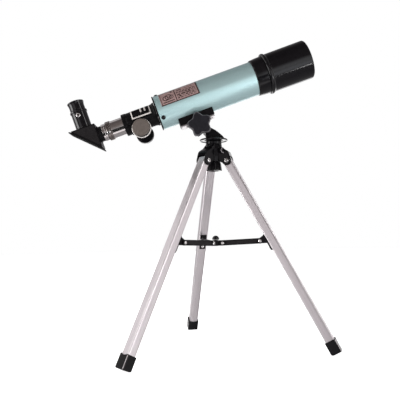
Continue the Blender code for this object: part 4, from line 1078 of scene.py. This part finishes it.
def make_bracket(leg):
    """A strap along the leg's inner face, with an ear for the link and bright rivets."""
    top = -LEG_DEPTH / 2 - 0.1
    ear_x, ear_z = in_leg_frame(LINK_OUTER)
    rivet_z = ear_z - 16.4
    low, high = EAR_SIDE
    end = LINK_SIDE[1] + 0.2
    at = (ear_x, 0, ear_z)
    strap = block((top - 2.1, -5, ear_z - 20.9), (top, 5, ear_z + 5.1), 0.7)
    ear = [(top - 1, ear_z + 5.1)] + arc((ear_x, ear_z), 4.3, 70, 270, 16) + [(top - 1, ear_z - 9)]
    ear = slab([ear], high - low, 0.3, NEAR, (0, (low + high) / 2, 0))
    stud = rivet_head([(0, end + 1.1), (1.6, end + 1.0), (2.7, end + 0.2), (2.7, end, 0), (1.5, end, 0),
                       (1.5, low + 0.5), (0, low + 0.5)], ALONG_Y, at)
    rivet = rivet_head([(0, 3.1), (1.4, 3.0), (2.7, 2.2), (2.7, 1.0), (0, 1.0)],
                       Matrix.Rotation(-math.pi / 2, 4, "Y"), (top, 0, rivet_z), 0.5)
    head = rivet_head([(0, -0.2), (1.5, -0.3), (2.6, -0.9), (2.6, -1.7), (0, -1.7)], NEAR, at)

    def bright(point, normal):
        on_stud = point.y > end - 0.05
        on_rivet = point.x < top - 2.15 and abs(point.z - rivet_z) < 2.8
        on_head = point.y < low - 0.05 and math.hypot(point.x - ear_x, point.z - ear_z) < 2.65
        return on_stud or on_rivet or on_head

    bracket = join(strap, ear, stud, rivet, head)
    show(bracket, f"leg_bracket_{leg}", LEG[leg], SATIN, STEEL, where=[bright], angle=28)


def make_link(leg):
    """A pressed steel strip with a sunk panel on each side and a riveted end."""
    run, rise = LINK_OUTER[0] - LINK_INNER[0], LINK_OUTER[1] - LINK_INNER[1]
    length = math.hypot(run, rise)
    place = moved(SIDE[leg], LINK_OUTER[0], 0, LINK_OUTER[1]) @ Matrix.Rotation(math.pi, 4, "Z")
    place = place @ Matrix.Rotation(math.atan2(rise, run), 4, "Y")
    low, high = LINK_SIDE
    half = LINK_HEIGHT / 2
    middle = -(low + high) / 2

    def stadium(inset, radius, steps):
        return arc((length - inset, 0), radius, -90, 90, steps) + arc((inset, 0), radius, 90, 270, steps)

    strip = slab([stadium(0, half, 18), circle(1.75, 32)], high - low, 0.4, NEAR, (0, middle, 0))
    panel = stadium(7.5, half - 1.5, 10)
    strip = cut(strip, *(slab([panel], 0.9, 0.2, NEAR, (0, side, 0)) for side in (-low, -high)))
    head = rivet_head([(0, 1.1), (1.4, 1.0), (2.7, 0.3), (2.7, -0.8, 0), (0, -0.8)], NEAR, (length, -high, 0))

    def sunk(point, normal):
        return abs(normal.y) > 0.9 and abs(point.y - middle) < (high - low) / 2 - 0.3

    def riveted(point, normal):
        return point.y < -high - 0.05

    link = join(strip, head)
    show(link, f"spreader_link_{leg}", place, SATIN, CHARCOAL, STEEL, where=[sunk, riveted], angle=28)


def make_spreader():
    place = moved(PAN, z=LINK_INNER[1])
    hub = lathe([(0, 4.8), (3.5, 4.8), (3.5, -4.4), (0, -4.4)], steps=FINE, rounding=0.8)
    half = LINK_HEIGHT / 2
    outline = arc((LINK_INNER[0], 0), half, -90, 90, 16) + [(-1, half), (-1, -half)]
    low, high = 1.0, EAR_SIDE[1]
    lugs, rivets = [], []
    for facing in FACING.values():
        near = facing @ NEAR
        lugs.append(slab([outline], high - low, 0.35, near, facing @ Vector((0, (low + high) / 2, 0))))
        middle = facing @ Vector((LINK_INNER[0], low, 0))
        lugs.append(rivet_head([(0, 1.0), (1.5, 0.9), (2.6, 0.2), (2.6, -0.6), (0, -0.6)], near, middle))
        rivets.append((middle, facing @ Vector((0, -1, 0))))

    def riveted(point, normal):
        return any((point - middle).dot(way) > 0.05 and (point - middle).length < 2.9
                   for middle, way in rivets)

    show(join(hub, *lugs), "spreader_hub", place, SATIN, STEEL, where=[riveted], angle=28)
    dome = [(0, 11.3), (1.2, 11.2, 0), (2.4, 10.8, 0), (3.5, 10.1, 0), (4.4, 9.2, 0), (5.1, 8.0, 0),
            (5.4, 6.8, 0), (5.3, 5.8, 0), (5.0, 5.1, 0.3), (0, 5.1)]
    show(lathe(dome, steps=FINE), "spreader_knob", place, GLOSS, angle=50)


# Stage

WHITE = (1, 1, 1)
# Heights in degrees, and the light's colour there
FRONT_LIGHT = (
    (-90, (0.42, 0.40, 0.40)), (90, (0.07, 0.06, 0.06)), (-66, (0.22, 0.21, 0.22)), (-40, (0.28, 0.27, 0.28)),
    (-18, (0.34, 0.33, 0.34)), (4, (0.20, 0.18, 0.175)), (24, (0.14, 0.12, 0.115)), (70, (0.08, 0.07, 0.07)),
)
BACK_LIGHT = (
    (-90, (0.42, 0.40, 0.40)), (90, (0.07, 0.06, 0.06)), (-50, (0.30, 0.29, 0.30)), (-10, (0.44, 0.43, 0.44)),
    (8, (0.55, 0.54, 0.55)), (38, (0.26, 0.25, 0.26)), (66, (0.10, 0.09, 0.09)),
)
# Azimuth from the front towards +X, height, half width, half height, softness, strength, colour
PANELS = (
    (38, -11, 22, 8, 20, 1.3, (0.97, 0.98, 1.0)),
    (43, -23, 20, 2, 10, 1.7, (0.92, 0.94, 1.0)),
    (13, -63, 26, 12, 7, 1.05, (1.0, 0.96, 0.97)),
    (-30, -4, 9, 12, 9, 0.95, (1.0, 0.96, 0.98)),
    (-112, 32, 24, 22, 14, 0.86, (1.0, 0.97, 0.98)),
    (86, 0, 16, 24, 14, 0.8, (1.0, 0.96, 0.97)),
    (-168, -10, 12, 3, 4, 2.4, WHITE),
    (168, -10, 12, 3, 4, 2.4, WHITE),
    (-60, 33, 14, 5, 4, 4, WHITE),
    (153, 3, 9, 11, 5, 1.7, WHITE),
    (3, -31, 12, 18, 4, 0.02, WHITE),
    (-78, -9, 13, 16, 5, 6, WHITE),
    (57, 22, 3, 44, 3, 5, WHITE),
    (40.5, -33.5, 6, 0.5, 0.6, 20, WHITE),
)
# Name, place, size in metres, power in watts
FILL_LIGHTS = (
    ("fill_front", (0.3, -1.7, -0.3), 1.0, 34),
    ("fill_top", (0, -0.3, 1.9), 1.4, 2),
    ("fill_back", (-0.4, 1.6, 0.9), 1.4, 6),
)
CAMERA_PLACE = (0.00205, -0.83051, 0.17777)
CAMERA_RIGHT = (0.99982, 0.0011, -0.0188)
CAMERA_FORWARD = (0, 0.99819, 0.06018)
LENS = 47.3


def make_floor():
    """A pale floor that only the camera sees, so that the light from below reaches the object."""
    shape = bmesh.new()
    bmesh.ops.create_circle(shape, cap_ends=True, segments=96, radius=4000)
    floor = shape_object(shape, at=(0, 0, -0.2))
    floor.name = "floor"
    finish = Finish("floor", (0.96, 0.96, 0.96), 0.9)
    glow = finish.spread(finish.noise(300), 0.3, 0.7, 0.88, 0.92)
    finish.feed(finish.shader, {"Emission Color": (1, 1, 1, 1), "Emission Strength": glow})
    floor.data.materials.append(finish.material)
    floor.visible_glossy = floor.visible_diffuse = floor.visible_shadow = floor.visible_transmission = False


def make_studio():
    """Soft light from all round, with panels that show as highlights in the glossy pieces."""
    world = bpy.data.worlds.new("studio")
    bpy.context.scene.world = world
    world.use_nodes = True
    studio = Nodes(world.node_tree)
    backdrop = studio.tree.nodes["Background"]
    output = studio.tree.nodes["World Output"]
    place = studio.node("SeparateXYZ", {"Vector": studio.node("TexCoord").outputs["Generated"]})
    x, y, z = (place.outputs[name] for name in "XYZ")
    to_degrees = 180 / math.pi
    height = studio.math("MULTIPLY", studio.math("ARCSINE", z), to_degrees)
    across = studio.math("MULTIPLY", studio.math("ARCTAN2", x, studio.math("MULTIPLY", y, -1.0)), to_degrees)

    def ramp(stops):
        """Brightness by height, given in degrees."""
        node = studio.node("ValToRGB", {"Fac": studio.spread(height, -90.0, 90.0)})
        node.color_ramp.interpolation = "EASE"
        elements = node.color_ramp.elements
        for i, (angle, (red, green, blue)) in enumerate(stops):
            element = elements[i] if i < 2 else elements.new(1)
            element.position = (angle + 90) / 180
            element.color = (red, green, blue, 1)
        return node.outputs["Color"]

    def within(value, middle, half, soft):
        """1 up to this far from the middle, falling softly to 0."""
        offset = studio.math("ABSOLUTE", studio.math("SUBTRACT", value, middle))
        return studio.spread(offset, half + soft, half, smooth=True)

    behind = studio.spread(y, -0.25, 0.45, smooth=True)
    light = studio.blend(behind, ramp(FRONT_LIGHT), ramp(BACK_LIGHT))
    for azimuth, elevation, half_width, half_height, soft, strength, tint in PANELS:
        mask = studio.math("MULTIPLY", within(across, azimuth, half_width, soft),
                           within(height, elevation, half_height, soft))
        colour = [value * strength for value in tint]
        light = studio.blend(mask, light, colour)
    studio.feed(backdrop, {"Color": light, "Strength": 1.0})
    plain = studio.node("Background", {"Color": (1, 1, 1, 1), "Strength": 1.0})
    seen = studio.node("LightPath").outputs["Is Camera Ray"]
    mixed = studio.node("MixShader", {0: seen, 1: backdrop.outputs[0], 2: plain.outputs[0]})
    studio.feed(output, {"Surface": mixed.outputs[0]})


def make_lights():
    """Wide soft lights for the painted and matt surfaces."""
    for name, place, size, power in FILL_LIGHTS:
        light = bpy.data.lights.new(name, "AREA")
        light.shape = "DISK"
        light.size = size
        light.energy = power
        obj = bpy.data.objects.new(name, light)
        aim = Vector((0, 0, 0.25)) - Vector(place)
        obj.location = place
        obj.rotation_euler = aim.to_track_quat("-Z", "Y").to_euler()
        obj.visible_glossy = obj.visible_camera = False
        bpy.context.scene.collection.objects.link(obj)


def make_camera():
    camera = bpy.data.objects.new("camera", bpy.data.cameras.new("camera"))
    camera.data.lens = LENS
    camera.data.sensor_width = 36
    camera.data.clip_start = 0.01
    right, forward = Vector(CAMERA_RIGHT), Vector(CAMERA_FORWARD)
    up = right.cross(forward).normalized()
    turn = Matrix((right, up, -forward)).transposed().to_4x4()
    camera.matrix_world = Matrix.Translation(CAMERA_PLACE) @ turn
    bpy.context.scene.collection.objects.link(camera)
    bpy.context.scene.camera = camera
    bpy.context.scene.view_settings.view_transform = "Standard"


make_main_tube()
make_rear_plate()
make_info_panel()
make_objective()
make_dew_shield()
make_housing()
make_accessory_shoe()
make_draw_tube()
make_knobs()
make_diagonal()
make_eyepiece()
make_saddle()
make_tilt_clamp()
make_neck()
make_pan_parts()
make_hub()
for leg_name in LEGS:
    make_leg(leg_name)
    make_bracket(leg_name)
    make_link(leg_name)
make_spreader()
make_floor()
make_studio()
make_lights()
make_camera()
